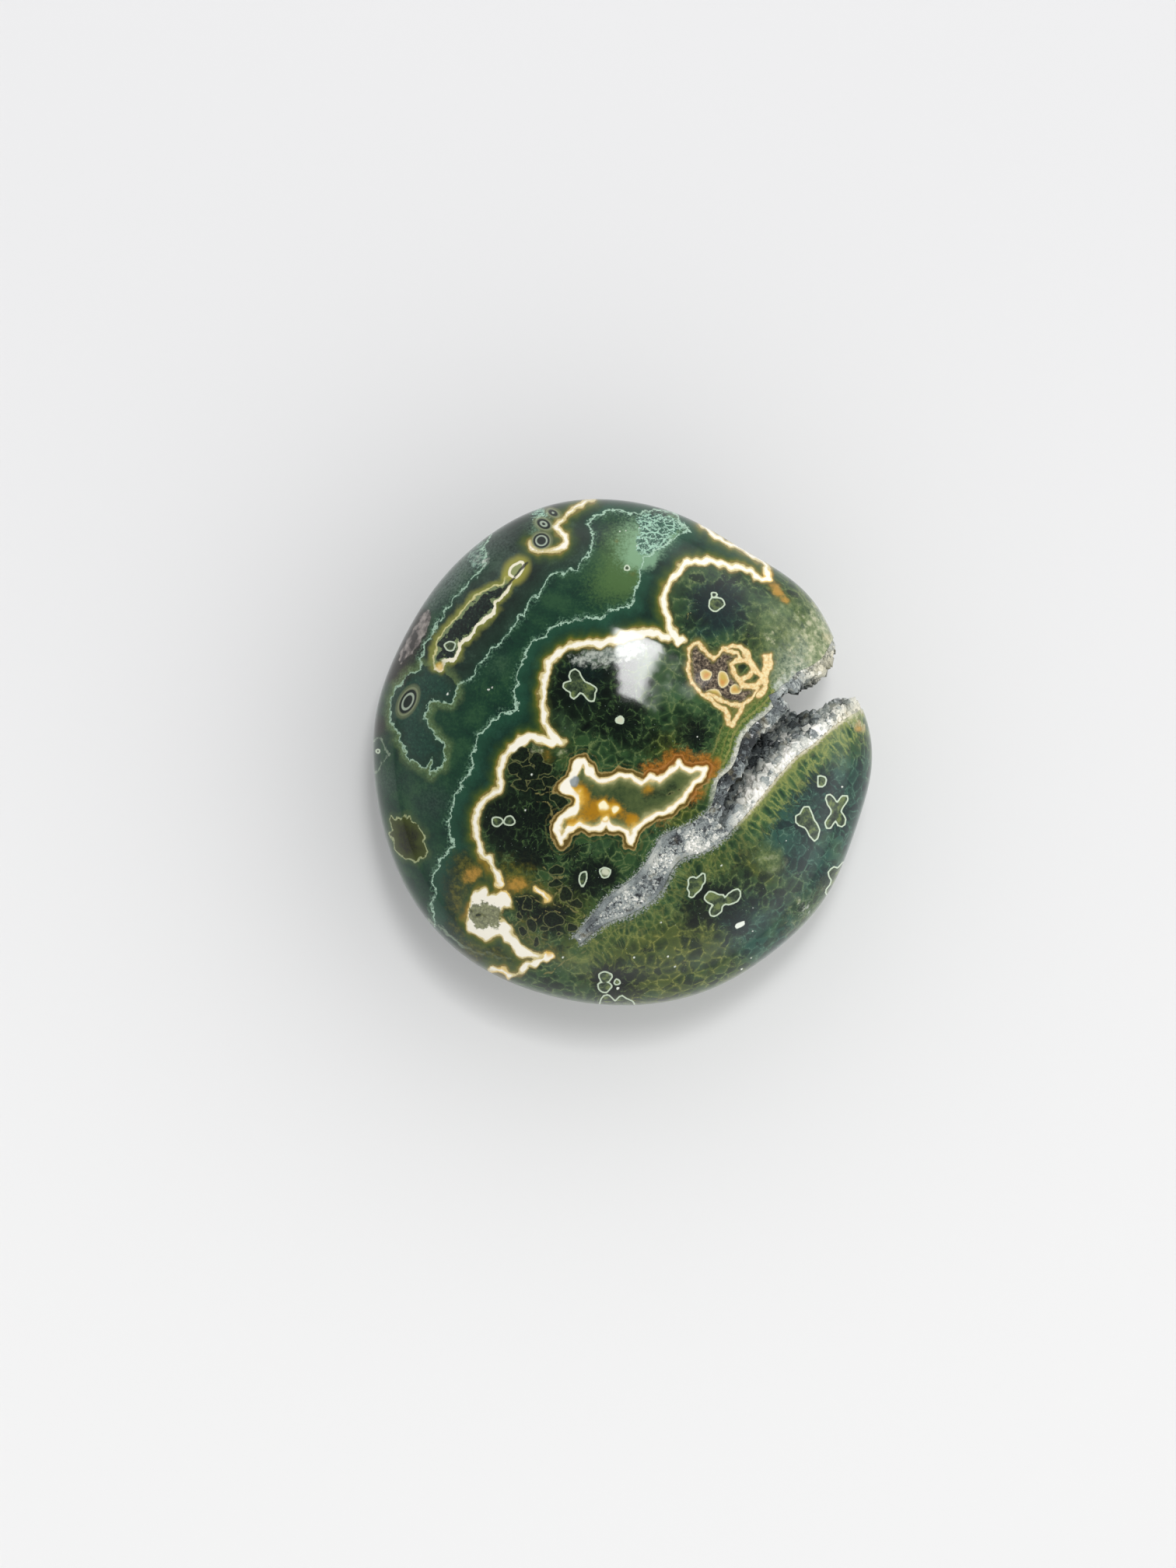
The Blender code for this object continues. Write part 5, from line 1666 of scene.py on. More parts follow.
        body = g.mix(g.both(g.step(right, 1.6, 0.3), right_side, hollow, 0.6), body,
                     g.ramp(grain, (0.36, "5e6f38"), (0.6, "a3a35e")))
        body = g.mix(g.both(g.step(left, 4.2, 2.0), left_side, inner, 0.85), body,
                     g.ramp(grain, (0.35, "375024"), (0.5, "587031"), (0.65, "87924f")))
        for middle, width, code in ((1.3, 0.10, "a39a5c"), (2.1, 0.05, "8b8448"), (3.2, 0.07, "958c50")):
            body = g.mix(g.both(g.line(left, middle, width, 0.12), left_side, inner, 0.42), body, code)
        lobe = g.both(g.step(run, 13.0, 8.0), left_side)
        mottle = g.noise(0.9, 4.0, 0.7)
        body = g.mix(g.both(g.step(g.add(left, g.offset(mottle, 9.0)), 5.8, 1.2),
                            lobe, 0.85), body, g.ramp(g.add(g.both(mottle, 0.6), g.both(grain, 0.4)),
                                                      (0.36, "3f5042"), (0.46, "6d7c66"), (0.54, "9aa58b"),
                                                      (0.62, "cfcab4")))
        warm = g.step(g.add(g.value("warm"), g.offset(mottle, 1.2)), 0.3, 0.8)
        body = g.mix(g.both(warm, 0.75), body, g.ramp(grain, (0.36, "9a8150"), (0.6, "dcc59a")))
        ragged = g.add(left, g.offset(grain, 1.6))
        body = g.mix(g.both(g.step(ragged, 0.85, 0.4), left_side, inner, 0.9), body,
                     g.ramp(grain, (0.35, "858a80"), (0.6, "deded2")))
        vein = g.step(run, 26.0, 30.0)
        specks = g.noise(4.5, 2.0, 0.6)
        near = g.add(g.maths("MINIMUM", left, right), g.offset(specks, 2.6))
        body = g.mix(g.both(g.step(near, 0.35, 0.1), vein, 0.9), body,
                     g.ramp(grain, (0.36, "5c6461"), (0.6, "aeb3ae")))
        cream = g.add(right, g.offset(grain, 1.5))
        return g.mix(g.both(g.step(cream, 0.5, 0.15), right_side, hollow, 0.9), body,
                     g.ramp(grain, (0.35, "98926f"), (0.6, "e3dcc4")))

    def ribbons(self, g: Graph, under: Value, jag: Value) -> Socket:
        """Lay the white ribbons with their gold and tan edges over a colour.

        Args:
            g: The material's builder.
            under: Colour below.
            jag: Fine uneven offset.

        Returns:
            The colour's socket.
        """
        inside = g.value("jasper")
        ribbon = g.shifted("ribbon", jag, 0.42)
        out = g.step(inside, 0.3, -0.2)
        within = g.step(inside, -0.2, 0.3)
        rich = g.step(g.value("gold"), 0.05, 0.5)
        body = g.mix(g.both(g.step(ribbon, 2.2, 0.7), out, 0.7), under, "365026")
        body = g.mix(g.both(g.step(ribbon, 1.3, 0.35), out, 0.85), body, g.mix(rich, "57601f", "94741f"))
        body = g.mix(g.both(g.step(ribbon, 0.75, 0.3), out, 0.85), body, g.mix(rich, "8f8136", "b98f2e"))
        body = g.mix(g.both(g.step(ribbon, 1.2, 0.5), within, 0.6), body, "3e4a25")
        body = g.mix(g.both(g.step(ribbon, 0.62, 0.4), within, 0.85), body, "7d7140")
        body = g.mix(g.step(ribbon, 0.42, 0.2), body, g.mix(rich, "d5c68e", "e6c878"))
        body = g.mix(g.both(g.line(ribbon, 0.40, 0.045, 0.07), 0.6), body, "77683a")
        return g.mix(g.step(ribbon, 0.16, -0.06), body, "fbf6e6")

    def flame(self, g: Graph, under: Value, jag: Value, cloud: Value) -> Socket:
        """Lay the closed golden figure in the middle over a colour.

        Args:
            g: The material's builder.
            under: Colour below.
            jag: Fine uneven offset.
            cloud: Slow clouding.

        Returns:
            The colour's socket.
        """
        fine = g.noise(1.8, 4.0, 0.7)
        flame = g.shifted("blaze", jag, 0.55)
        core = g.shifted("core", jag, 0.3)
        uneven = g.maths("SUBTRACT", fine, 0.5)
        rust = g.step(g.shifted("rust", uneven, 1.1), 0.15, 0.75)
        body = g.mix(g.both(g.step(g.add(flame, g.both(uneven, 2.0)), -2.6, -1.2), rust, 0.9), under,
                     g.ramp(fine, (0.35, "5f3c14"), (0.52, "98601e"), (0.7, "b57e36")))
        body = g.mix(g.both(g.line(flame, -1.55, 0.03, 0.12), g.step(rust, 0.6, 0.2), 0.3), body, "6f6a3a")
        body = g.mix(g.both(g.step(flame, -1.15, -0.75), 0.85), body, g.mix(rust, "6a5423", "8a561c"))
        body = g.mix(g.both(g.line(flame, -0.95, 0.06, 0.1), 0.8), body, g.mix(rust, "a08a55", "a9743a"))
        body = g.mix(g.both(g.line(flame, -0.62, 0.04, 0.07), 0.5), body, "5a4a22")
        olive = g.ramp(g.add(g.both(cloud, 0.6), g.both(fine, 0.4)), (0.38, "35452a"), (0.6, "526038"))
        warm = g.step(g.shifted("gold", uneven, 0.9), 0.25, 0.9)
        inner = g.mix(warm, olive, "a8791a")
        inner = g.mix(g.both(g.step(g.value("lens"), 0.35, 0.8), 0.7), inner, g.ramp(fine, (0.4, "1f2b1c"),
                                                                                    (0.6, "3a4a2e")))
        inner = g.mix(g.both(g.step(flame, 1.7, 0.7), 0.8), inner, g.mix(warm, "6f7648", "c2922e"))
        inner = g.mix(g.both(g.step(flame, 1.0, 0.5), 0.7), inner, g.mix(warm, "a8a574", "e3b654"))
        body = g.mix(g.step(flame, 0.0, 0.15), body, inner)
        body = g.mix(g.step(core, 0.34, 0.14), body, g.mix(warm, "d9c48a", "ecc766"))
        body = g.mix(g.step(core, 0.16, -0.06), body, "fdf8e8")
        return g.mix(g.both(g.step(g.value("slate"), 0.35, 0.8), 0.85), body, "7d8a92")

    def figures(self, g: Graph, under: Value, jag: Value) -> Socket:
        """Lay the closed figures of the agate and the window over a colour.

        Args:
            g: The material's builder.
            under: Colour below.
            jag: Fine uneven offset.

        Returns:
            The colour's socket.
        """
        grain = g.noise(2.4, 4.0, 0.7)
        capsule = g.shifted("capsule", jag, 0.6)
        body = g.mix(g.both(g.step(capsule, -1.3, -0.3), 0.8), under, "8c8f3e")
        lump = g.add(capsule, g.offset(g.noise(1.1, 3.0, 0.6), 2.0))
        inner = g.mix(g.step(lump, 0.25, 0.42), "74845a", g.ramp(grain, (0.40, "05100d"), (0.56, "11251e"),
                                                                 (0.72, "43543c")))
        body = g.mix(g.step(capsule, -0.05, 0.1), body, inner)
        flank = g.step(g.value("flank"), -0.9, 0.9)
        rim_width = g.add(g.both(flank, 0.16), 0.05)
        rim_line = g.step(g.maths("SUBTRACT", g.maths("ABSOLUTE", g.add(capsule, 0.1)), rim_width), 0.12, 0.0)
        body = g.mix(rim_line, body, g.mix(flank, "c9c68c", "f4eed6"))
        head = g.value("head")
        body = g.mix(g.both(g.step(head, -1.5, -0.4), 0.8), body, "9d9a40")
        body = g.mix(g.step(head, -0.1, 0.1), body, "8c9560")
        body = g.mix(g.line(head, 0.0, 0.12, 0.12), body, "f2ecd2")
        body = g.mix(g.both(g.step(g.value("slit"), 0.28, 0.1), 0.9), body, "141d16")
        pocket = g.add(g.value("pocket"), jag)
        body = g.mix(g.both(g.step(pocket, 0.1, 1.4), 0.85), body,
                     g.ramp(grain, (0.35, "12332a"), (0.6, "20483a"), (0.75, "47684a")))
        body = g.mix(g.both(g.step(pocket, -1.5, -0.2), g.step(pocket, 0.1, -0.1), grain, 0.9), body, "6f8450")
        blob = g.shifted("blob", jag, 0.5)
        body = g.mix(g.both(g.step(blob, -1.0, 0.0), 0.5), body, "4f6238")
        body = g.mix(g.step(blob, -0.05, 0.1), body, g.mix(g.step(blob, 0.2, 1.4), "3c4612",
                                                           g.ramp(grain, (0.35, "131805"), (0.65, "2c3307"))))
        body = g.mix(g.both(g.line(blob, 0.02, 0.05, 0.10), g.step(grain, 0.35, 0.5), 0.9), body, "a9b283")
        window = g.shifted("window", jag, 0.5)
        body = g.mix(g.both(g.step(window, -1.2, -0.2), 0.55), body, "77743a")
        body = g.mix(g.step(window, 0.1, 0.3), body, g.ramp(grain, (0.36, "26221e"), (0.5, "5a4f43"),
                                                              (0.66, "a3927a")))
        nodule = g.shifted("nodule", jag, 0.25)
        body = g.mix(g.both(g.step(nodule, -0.05, 0.1), g.step(window, 0.0, 0.2)), body,
                     g.mix(g.step(nodule, 0.05, 0.5), "d9c07f",
                           g.ramp(g.noise(0.6, 2.0), (0.4, "cf9450"), (0.6, "c4ad58"))))
        body = g.mix(g.both(g.line(nodule, 0.0, 0.05, 0.08), g.step(window, 0.0, 0.2), 0.7), body, "ecdfb0")
        web = g.add(g.maths("SUBTRACT", g.value("web"), 0.08), g.both(jag, 0.35))
        edge = g.maths("MINIMUM", g.maths("ABSOLUTE", window), web)
        body = g.mix(g.both(g.step(edge, 0.75, 0.35), 0.6), body, "7f7a40")
        frame_line = g.mix(g.step(edge, 0.12, 0.28), g.ramp(grain, (0.35, "e0b877"), (0.6, "efe2b0")), "b3915a")
        return g.mix(g.step(edge, 0.36, 0.26), body, frame_line)

    def eyes(self, g: Graph, under: Value, jag: Value) -> Socket:
        """Lay eyes, rings, dots and the small cavity over a colour.

        Args:
            g: The material's builder.
            under: Colour below.
            jag: Fine uneven offset.

        Returns:
            The colour's socket.
        """
        grain = g.noise(3.0, 3.0, 0.6)
        patchy = g.noise(0.9, 2.0, 0.5)
        cavity = g.add(g.add(g.value("cavity"), 0.28), g.both(jag, 1.5))
        body = g.mix(g.both(g.step(cavity, 0.0, 0.3), 0.9), under, g.ramp(grain, (0.36, "454d28"), (0.5, "636a3d"),
                                                                       (0.7, "8f9468")))
        lumps = g.cells(0.9)
        body = g.mix(g.both(g.step(cavity, 0.0, 0.3), g.step(lumps, 0.26, 0.18), g.step(cavity, 0.7, 0.3)), body,
                     "d8d6bb")
        cell = g.shifted("cell", jag, 0.3)
        body = g.mix(g.both(g.step(cell, -0.05, 0.15), 0.9), body,
                     g.ramp(grain, (0.4, "08110c"), (0.65, "1a2817")))
        body = g.mix(g.both(g.line(cell, 0.0, 0.03, 0.08), g.step(grain, 0.3, 0.5), 0.75), body, "666a42")
        eye = g.shifted("eye", jag, 0.12)
        body = g.mix(g.both(g.step(eye, -0.05, 0.1), 0.9), body,
                     g.ramp(g.add(g.both(patchy, 0.7), g.both(grain, 0.3)), (0.38, "1f2c1e"), (0.5, "41513a"),
                            (0.6, "6d7c4a")))
        milk = g.step(g.value("milk"), 0.3, 0.8)
        body = g.mix(g.both(g.step(eye, 0.0, 0.1), milk, 0.9), body, "d3d8bd")
        body = g.mix(g.both(g.line(eye, 0.04, 0.065, 0.07), 0.9), body, "c9d8bf")
        ringed = g.value("ringed")
        body = g.mix(g.both(g.step(ringed, -0.5, -0.2), 0.35), body, "8d9267")
        body = g.mix(g.step(ringed, -0.05, 0.06), body, "17231d")
        body = g.mix(g.both(g.line(ringed, 0.0, 0.05, 0.1), 0.6), body, "8f9876")
        body = g.mix(g.both(g.line(ringed, 0.46, 0.06, 0.09), 0.85), body, "aab8a5")
        return g.mix(g.step(g.value("dots"), -0.05, 0.08), body, "e6ece0")

    def glows(self, g: Graph, under: Value, grain: Value) -> Socket:
        """Lay the soft golden and chalky spots over a colour.

        Args:
            g: The material's builder.
            under: Colour below.
            grain: Fine noise.

        Returns:
            The colour's socket.
        """
        uneven = g.maths("SUBTRACT", grain, 0.5)
        outside = g.step(g.value("blaze"), 0.1, -0.2)
        halo = g.shifted("halo", uneven, 0.9)
        body = g.mix(g.both(g.step(halo, 0.1, 1.1), outside, 0.7), under,
                     g.ramp(grain, (0.36, "2c3110"), (0.5, "4b4d19"), (0.66, "757028")))
        gold = g.shifted("gold", uneven, 0.7)
        body = g.mix(g.both(g.step(gold, 0.1, 1.1), outside, 0.85), body,
                     g.ramp(g.add(gold, g.both(uneven, 0.6)), (0.25, "4a5720"), (0.65, "7a6a25"),
                            (1.15, "b98d3c")))
        drift = g.maths("SUBTRACT", g.noise(0.6, 3.0, 0.6), 0.5)
        chalk = g.add(g.value("pale"), g.add(g.both(uneven, 1.1), g.both(drift, 3.2)))
        body = g.mix(g.both(g.step(chalk, 0.35, 1.0), g.step(g.value("pale"), 0.02, 0.2), 0.7), body,
                     g.ramp(g.add(g.both(grain, 0.4), g.both(g.noise(0.8, 3.0, 0.6), 0.6)),
                            (0.38, "4f6238"), (0.48, "818e62"), (0.60, "c6c4a2")))
        patch = g.shifted("patch", uneven, 0.8)
        body = g.mix(g.both(g.step(patch, -0.05, 0.15), 0.8), body,
                     g.ramp(g.noise(0.6, 3.0), (0.4, "3d3a38"), (0.5, "7b7470"), (0.62, "aaa29c")))
        # Fog spots: pale mottling, and beside the window light's highlight a painted spread of its reflection.
        fog_and_glare = g.add(g.value("fog_and_glare"), g.add(g.both(uneven, 1.7), g.both(drift, 0.8)))
        return g.mix(g.both(g.step(fog_and_glare, 0.3, 1.0), g.step(g.value("fog_and_glare"), 0.02, 0.25), 0.75), body,
                     g.ramp(grain, (0.36, "6a7871"), (0.6, "cbd1c6")))

    def build(self) -> bpy.types.Material:
        """Make the material.

        Returns:
            The material.
        """
        g = Graph("polished_agate")
        cloud = g.noise(0.28, 4.0, 0.6)
        coarse = g.offset(g.noise(1.3, 3.0, 0.65), 0.75)
        jag = g.add(coarse, g.offset(g.noise(3.4, 2.0, 0.6), 0.45))
        grain = g.noise(1.3, 4.0, 0.7)
        ground = g.mix(g.step(g.shifted("jasper", jag, 0.3), -0.1, 0.1),
                       self.agate(g, jag, cloud), self.jasper(g, jag, cloud))
        body = self.lip_bands(g, ground, jag)
        body = self.glows(g, body, grain)
        body = self.figures(g, body, jag)
        body = self.flame(g, body, jag, cloud)
        body = self.ribbons(g, body, jag)
        body = self.eyes(g, body, jag)
        glow = g.value("glow")
        body = g.mix(g.both(g.step(glow, 0.12, 0.6), 0.8), body, "e0b444")
        body = g.mix(g.step(glow, 0.45, 0.85), body, "fff6cf")
        g.surface(body, self.roughness, self.index)
        g.bump(g.both(g.noise(5.0, 3.0, 0.6), g.step(g.noise(0.4, 2.0), 0.3, 0.7)), 0.2, self.pits)
        return g.material


@dataclass(frozen=True)
class QuartzFinish:
    """Small quartz crystals, from smoky grey to sugary white, with painted shade laid into that paleness.

    Attributes:
        roughness: Roughness of the crystal faces.
        index: Refractive index of quartz.
    """

    roughness: float = 0.22
    index: float = 1.54

    def build(self) -> bpy.types.Material:
        """Make the material.

        Returns:
            The material.
        """
        g = Graph("quartz_points")
        # The stored light value carries painted shade as well as the quartz's own paleness.
        light = g.add(g.value("light"), g.offset(g.noise(1.6, 3.0, 0.7), 0.35))
        light = g.add(light, g.offset(g.noise(5.5, 2.0, 0.6), 0.5))
        body = g.ramp(light, (0.0, "2a2e30"), (0.25, "5f6668"), (0.5, "98a09e"), (0.75, "d3d4cb"),
                      (1.0, "fbf9f2"))
        stain = g.both(g.step(g.noise(0.45, 2.0), 0.56, 0.7), 0.3)
        body = g.mix(stain, body, "a39b7c")
        body = g.mix(g.both(g.value("earthy"), 0.8), body, g.ramp(light, (0.2, "6b6a52"), (0.8, "cfc6a6")))
        g.surface(body, self.roughness, self.index)
        return g.material


@dataclass(frozen=True)
class FloorFinish:
    """Plain pale table top, with painted light: a little paler towards the foot of the picture.

    Attributes:
        near: Hex colour at the foot of the picture.
        far: Hex colour at its top.
        roughness: Roughness.
        shine: Strength of its reflections.
    """

    near: str = "f7f7f7"
    far: str = "ededee"
    roughness: float = 0.9
    shine: float = 0.2

    def build(self) -> bpy.types.Material:
        """Make the material.

        Returns:
            The material.
        """
        g = Graph("pale_floor")
        split = g.tree.nodes.new("ShaderNodeSeparateXYZ")
        g.feed(split.inputs[0], g.place)
        # Painted light: the floor is a little paler towards the foot of the picture.
        way = g.add(split.outputs[1], g.both(g.noise(0.01, 2.0), 20.0))
        g.surface(g.mix(g.step(way, -110.0, 120.0), self.near, self.far), self.roughness)
        g.shader.inputs["Specular IOR Level"].default_value = self.shine
        return g.material


@dataclass
class PolishedStone:
    """The polished body with the cleft cut into it.

    Attributes:
        pebble: The body.
        cleft: The cleft.
        finish: Its finish.
    """

    pebble: Pebble
    cleft: Cleft
    finish: StoneFinish = StoneFinish()

    def build(self) -> bpy.types.Object:
        """Build and dress the stone.

        Returns:
            The piece.
        """
        stone = add_mesh("polished_stone", *self.pebble.shell(0.0, self.pebble.fine, self.pebble.coarse))
        carve(stone, [(Cut.REMOVE, self.cleft.trench("cleft", 0.0, len(MOUTH) - 1.0)),
                      (Cut.REMOVE, self.cleft.slot("gap", 0.0))])
        Markings(self.cleft).apply(stone.data)
        stone.data.materials.clear()
        stone.data.materials.append(self.finish.build())
        stone.data.shade_smooth()
        stone.data.set_sharp_from_angle(angle=math.radians(35.0))
        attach(stone, "root")
        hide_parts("stone")
        LOG.info("polished stone: %d faces", len(stone.data.polygons))
        return stone


@dataclass
class CrystalCrust:
    """The lining of the cleft with its quartz points.

    Attributes:
        pebble: The body.
        cleft: The cleft.
        finish: Its finish.
        seed: Seed of the crystals.
        seat: Distance of the lining's back from the stone's wall.
        lining: Distance of the lining's front from the stone's wall.
        foot: Length of a crystal that is buried.
        hollow_end: Place along the cleft where the hollow ends and the flush vein goes on.
        spread: How much the crystals' directions vary.
        flicker: How much their paleness varies.
    """

    pebble: Pebble
    cleft: Cleft
    finish: QuartzFinish = QuartzFinish()
    seed: int = 5
    seat: float = 0.03
    lining: float = 0.95
    foot: float = 0.35
    hollow_end: float = 15.5
    spread: float = 0.28
    flicker: float = 0.17

    def base(self) -> bpy.types.Object:
        """Make the bare lining.

        Returns:
            The lining.
        """
        last = len(MOUTH) - 1.0
        base = self.cleft.trench("quartz_points", self.seat, last)
        top = add_mesh("polish", *self.pebble.shell(0.2, 0.7, 0.9))
        carve(base, [(Cut.JOIN, self.cleft.slot("slot_back", self.seat)),
                     (Cut.REMOVE, self.cleft.trench("front", self.lining, self.hollow_end)),
                     (Cut.REMOVE, self.cleft.slot("slot_front", self.lining)),
                     (Cut.KEEP, top)])
        return base

    def in_gap(self, plan: np.ndarray) -> np.ndarray:
        """Tell which plan positions lie in the open gap."""
        left, right, _ = self.cleft.gap_walls(np.linspace(0.0, len(GAP_EDGES) - 1, GAP_STATIONS), self.lining)
        return enclosed(plan, np.concatenate([left, right[::-1]]))

    def hollow_places(self, chooser: np.random.Generator, count: int, first: float, last: float,
                      level: float) -> tuple[np.ndarray, np.ndarray]:
        """Choose places on the wall of the cleft.

        Args:
            chooser: Source of random numbers.
            count: Number of places before those in the gap are left out.
            first: Start along the cleft.
            last: End along the cleft.
            level: 1 for the wall of the hollow, 0 for the flush top of the vein.

        Returns:
            Roots and directions.
        """
        station = np.linspace(first, last, 90)
        profile = self.cleft.profile(40)
        grid = np.stack([self.cleft.wall(station, np.full(len(station), across), np.full(len(station), down),
                                         self.lining) for across, down in profile], axis=1)
        if level == 0.0:
            grid[:, :, 2] = self.pebble.face(grid[:, :, :2].reshape(-1, 2)).reshape(grid.shape[:2]) - 0.26
        corner, across, along = grid[:-1, :-1], grid[:-1, 1:] - grid[:-1, :-1], grid[1:, :-1] - grid[:-1, :-1]
        normal = np.cross(across, along).reshape(-1, 3)
        area = np.linalg.norm(normal, axis=1)
        middle = grid[:-1, :-1].mean(axis=1) * (1.0, 1.0, 0.0) + (0.0, 0.0, 32.0)
        toward = (middle[:, None] - corner).reshape(-1, 3)
        normal /= np.maximum(area, 1e-9)[:, None]
        normal *= np.where((normal * toward).sum(axis=1) < 0.0, -1.0, 1.0)[:, None]
        picked = chooser.choice(len(area), size=count, p=area / area.sum())
        shares = chooser.random((count, 2))
        roots = (corner.reshape(-1, 3)[picked] + across.reshape(-1, 3)[picked] * shares[:, :1]
                 + along.reshape(-1, 3)[picked] * shares[:, 1:])
        kept = ~self.in_gap(roots[:, :2])
        return roots[kept], normal[picked][kept]

    def lip_places(self, chooser: np.random.Generator, count: int) -> tuple[np.ndarray, np.ndarray]:
        """Choose places on the crust's own edge beside both lips.

        Args:
            chooser: Source of random numbers.
            count: Number of places.

        Returns:
            Roots and directions.
        """
        rows = glide(self.cleft.knots, chooser.uniform(0.2, self.hollow_end, count))
        left, right = rows[:, :2], rows[:, 2:4]
        side = (right - left) / np.linalg.norm(right - left, axis=1)[:, None]
        inward = chooser.uniform(-0.05, self.lining, count)[:, None]
        plan = np.where(chooser.random((count, 1)) < 0.6, left + side * inward, right - side * inward)
        roots = np.column_stack([plan, self.pebble.face(plan) - 0.35])
        kept = ~self.in_gap(plan)
        return roots[kept], np.tile((0.0, 0.0, 1.0), (kept.sum(), 1))

    def gap_places(self, chooser: np.random.Generator, count: int) -> tuple[np.ndarray, np.ndarray]:
        """Choose places on both walls of the open gap.

        Args:
            chooser: Source of random numbers.
            count: Number of places.

        Returns:
            Roots and directions.
        """
        place = chooser.uniform(0.4, len(GAP_EDGES) - 1.0, count)
        left, right, side = self.cleft.gap_walls(place, self.lining)
        on_left = chooser.random(count) < 0.5
        sign = np.where(on_left, -1.0, 1.0)[:, None]
        height = chooser.uniform(0.5, self.cleft.floor_height + 2.5, count)
        wall = np.where(on_left[:, None], left, right) + side * sign * self.cleft.flare(height)[:, None]
        kept = height > self.pebble.underside(wall) + 0.9
        roots = np.column_stack([wall, height])
        return roots[kept], np.column_stack([-side * sign, np.zeros(count)])[kept]

    def light(self, points: np.ndarray) -> np.ndarray:
        """Give how pale the quartz is, with painted shade: darker deep in the cleft and under its left lip, paler
        up the lit right slope.

        Args:
            points: Rows of x, y and z.

        Returns:
            0 for smoky quartz in painted shade to 1 for white quartz on the lit slope.
        """
        plan = points[:, :2]
        left, right = self.cleft.lips()
        near_left = gap_to(plan, left)
        near_right, run = nearest(plan, right, False)
        across = near_left / np.maximum(near_left + near_right, 1e-6)
        vein = np.clip((run - 26.5) / 4.0, 0.0, 1.0)
        lobe = np.clip((13.0 - run) / 4.0, 0.0, 1.0)
        # Painted shade: darker with depth, darker near the top under the left lip, and paler across towards the
        # lit right slope.
        depth = np.clip((self.pebble.face(plan) - points[:, 2]) / 9.0, 0.0, 1.0)
        painted_lip_shade = np.clip(1.0 - (self.pebble.face(plan) - points[:, 2]) / 2.5, 0.0, 1.0)
        hollow = 0.45 + 0.48 * np.clip((across - 0.52) / 0.42, 0.0, 1.0) - 0.10 * depth
        hollow -= 0.26 * painted_lip_shade * np.clip(1.0 - 1.8 * across, 0.0, 1.0)
        notch = 0.56 - 0.5 * np.clip(across, 0.0, 0.5) + 1.3 * np.clip(across - 0.70, 0.0, 0.5) - 0.08 * depth
        hollow = hollow * (1.0 - lobe) + notch * lobe
        drift = 0.10 * Ripple(31, 2.5, 7.0).at(plan)
        return hollow * (1.0 - vein) + vein * 0.46 + drift + spots(plan, CRYSTAL_TONES)

    def points(self, roots: np.ndarray, ways: np.ndarray, widths: np.ndarray, lengths: np.ndarray,
               chooser: np.random.Generator) -> tuple[np.ndarray, list]:
        """Make six-sided quartz points.

        Args:
            roots: Where they stand.
            ways: Their directions.
            widths: Their widths.
            lengths: Their free lengths.
            chooser: Source of random numbers.

        Returns:
            The points, and the corner numbers of each face.
        """
        count = len(roots)
        helper = np.where(np.abs(ways[:, 2:]) < 0.8, (0.0, 0.0, 1.0), (1.0, 0.0, 0.0))
        first = np.cross(ways, helper)
        first /= np.linalg.norm(first, axis=1)[:, None]
        second = np.cross(ways, first)
        turn = chooser.uniform(0.0, math.tau, count)
        corners = []
        shaft = lengths * chooser.uniform(0.25, 0.65, count)
        swell = chooser.uniform(0.8, 1.2, (count, SIDES))
        for level in (-self.foot * np.ones(count), shaft):
            for step in range(SIDES):
                angle = turn + step * math.tau / SIDES
                reach = widths * 0.5 * swell[:, step]
                corners.append(roots + first * (np.cos(angle) * reach)[:, None]
                               + second * (np.sin(angle) * reach)[:, None] + ways * level[:, None])
        skew = chooser.uniform(-0.22, 0.22, (count, 2)) * widths[:, None]
        corners.append(roots + first * skew[:, :1] + second * skew[:, 1:] + ways * lengths[:, None])
        grid = np.stack(corners, axis=1)
        base = CORNERS * np.arange(count)[:, None]
        faces = (base + np.arange(SIDES)[::-1]).tolist()
        for step in range(SIDES):
            follow = (step + 1) % SIDES
            faces += (base + np.array([step, follow, SIDES + follow, SIDES + step])).tolist()
            faces += (base + np.array([SIDES + step, SIDES + follow, 2 * SIDES])).tolist()
        return grid.reshape(-1, 3), faces

    def keep_inside(self, points: np.ndarray) -> np.ndarray:
        """Grind off what stands out of the polished body.

        Args:
            points: Rows of x, y and z.

        Returns:
            The moved points.
        """
        plan = points[:, :2].copy()
        angle = np.arctan2(plan[:, 1], plan[:, 0])
        reach = np.hypot(plan[:, 0], plan[:, 1])
        limit = self.pebble.rim(angle) - 0.35
        plan *= np.minimum(1.0, limit / np.maximum(reach, 1e-6))[:, None]
        top = self.pebble.face(plan) - 0.05
        height = np.clip(points[:, 2], self.pebble.underside(plan) + 0.2, top)
        return np.column_stack([plan, height])

    def grow(self, chooser: np.random.Generator, lot: Lot) -> tuple[np.ndarray, list]:
        """Grow one lot of crystals.

        Args:
            chooser: Source of random numbers.
            lot: The lot.

        Returns:
            The points, and the corner numbers of each face.
        """
        if lot.region is Region.HOLLOW:
            roots, ways = self.hollow_places(chooser, lot.count, 0.6, self.hollow_end - 0.6, 1.0)
        elif lot.region is Region.VEIN:
            roots, ways = self.hollow_places(chooser, lot.count, self.hollow_end - 1.6, len(MOUTH) - 1.2, 0.0)
        elif lot.region is Region.LIP:
            roots, ways = self.lip_places(chooser, lot.count)
        else:
            roots, ways = self.gap_places(chooser, lot.count)
        ways = ways + chooser.normal(0.0, self.spread, ways.shape)
        ways /= np.linalg.norm(ways, axis=1)[:, None]
        widths = chooser.uniform(lot.narrow, lot.wide, len(roots))
        lengths = widths * lot.share * chooser.uniform(0.6, 1.2, len(roots))
        return self.points(roots, ways, widths, lengths, chooser)

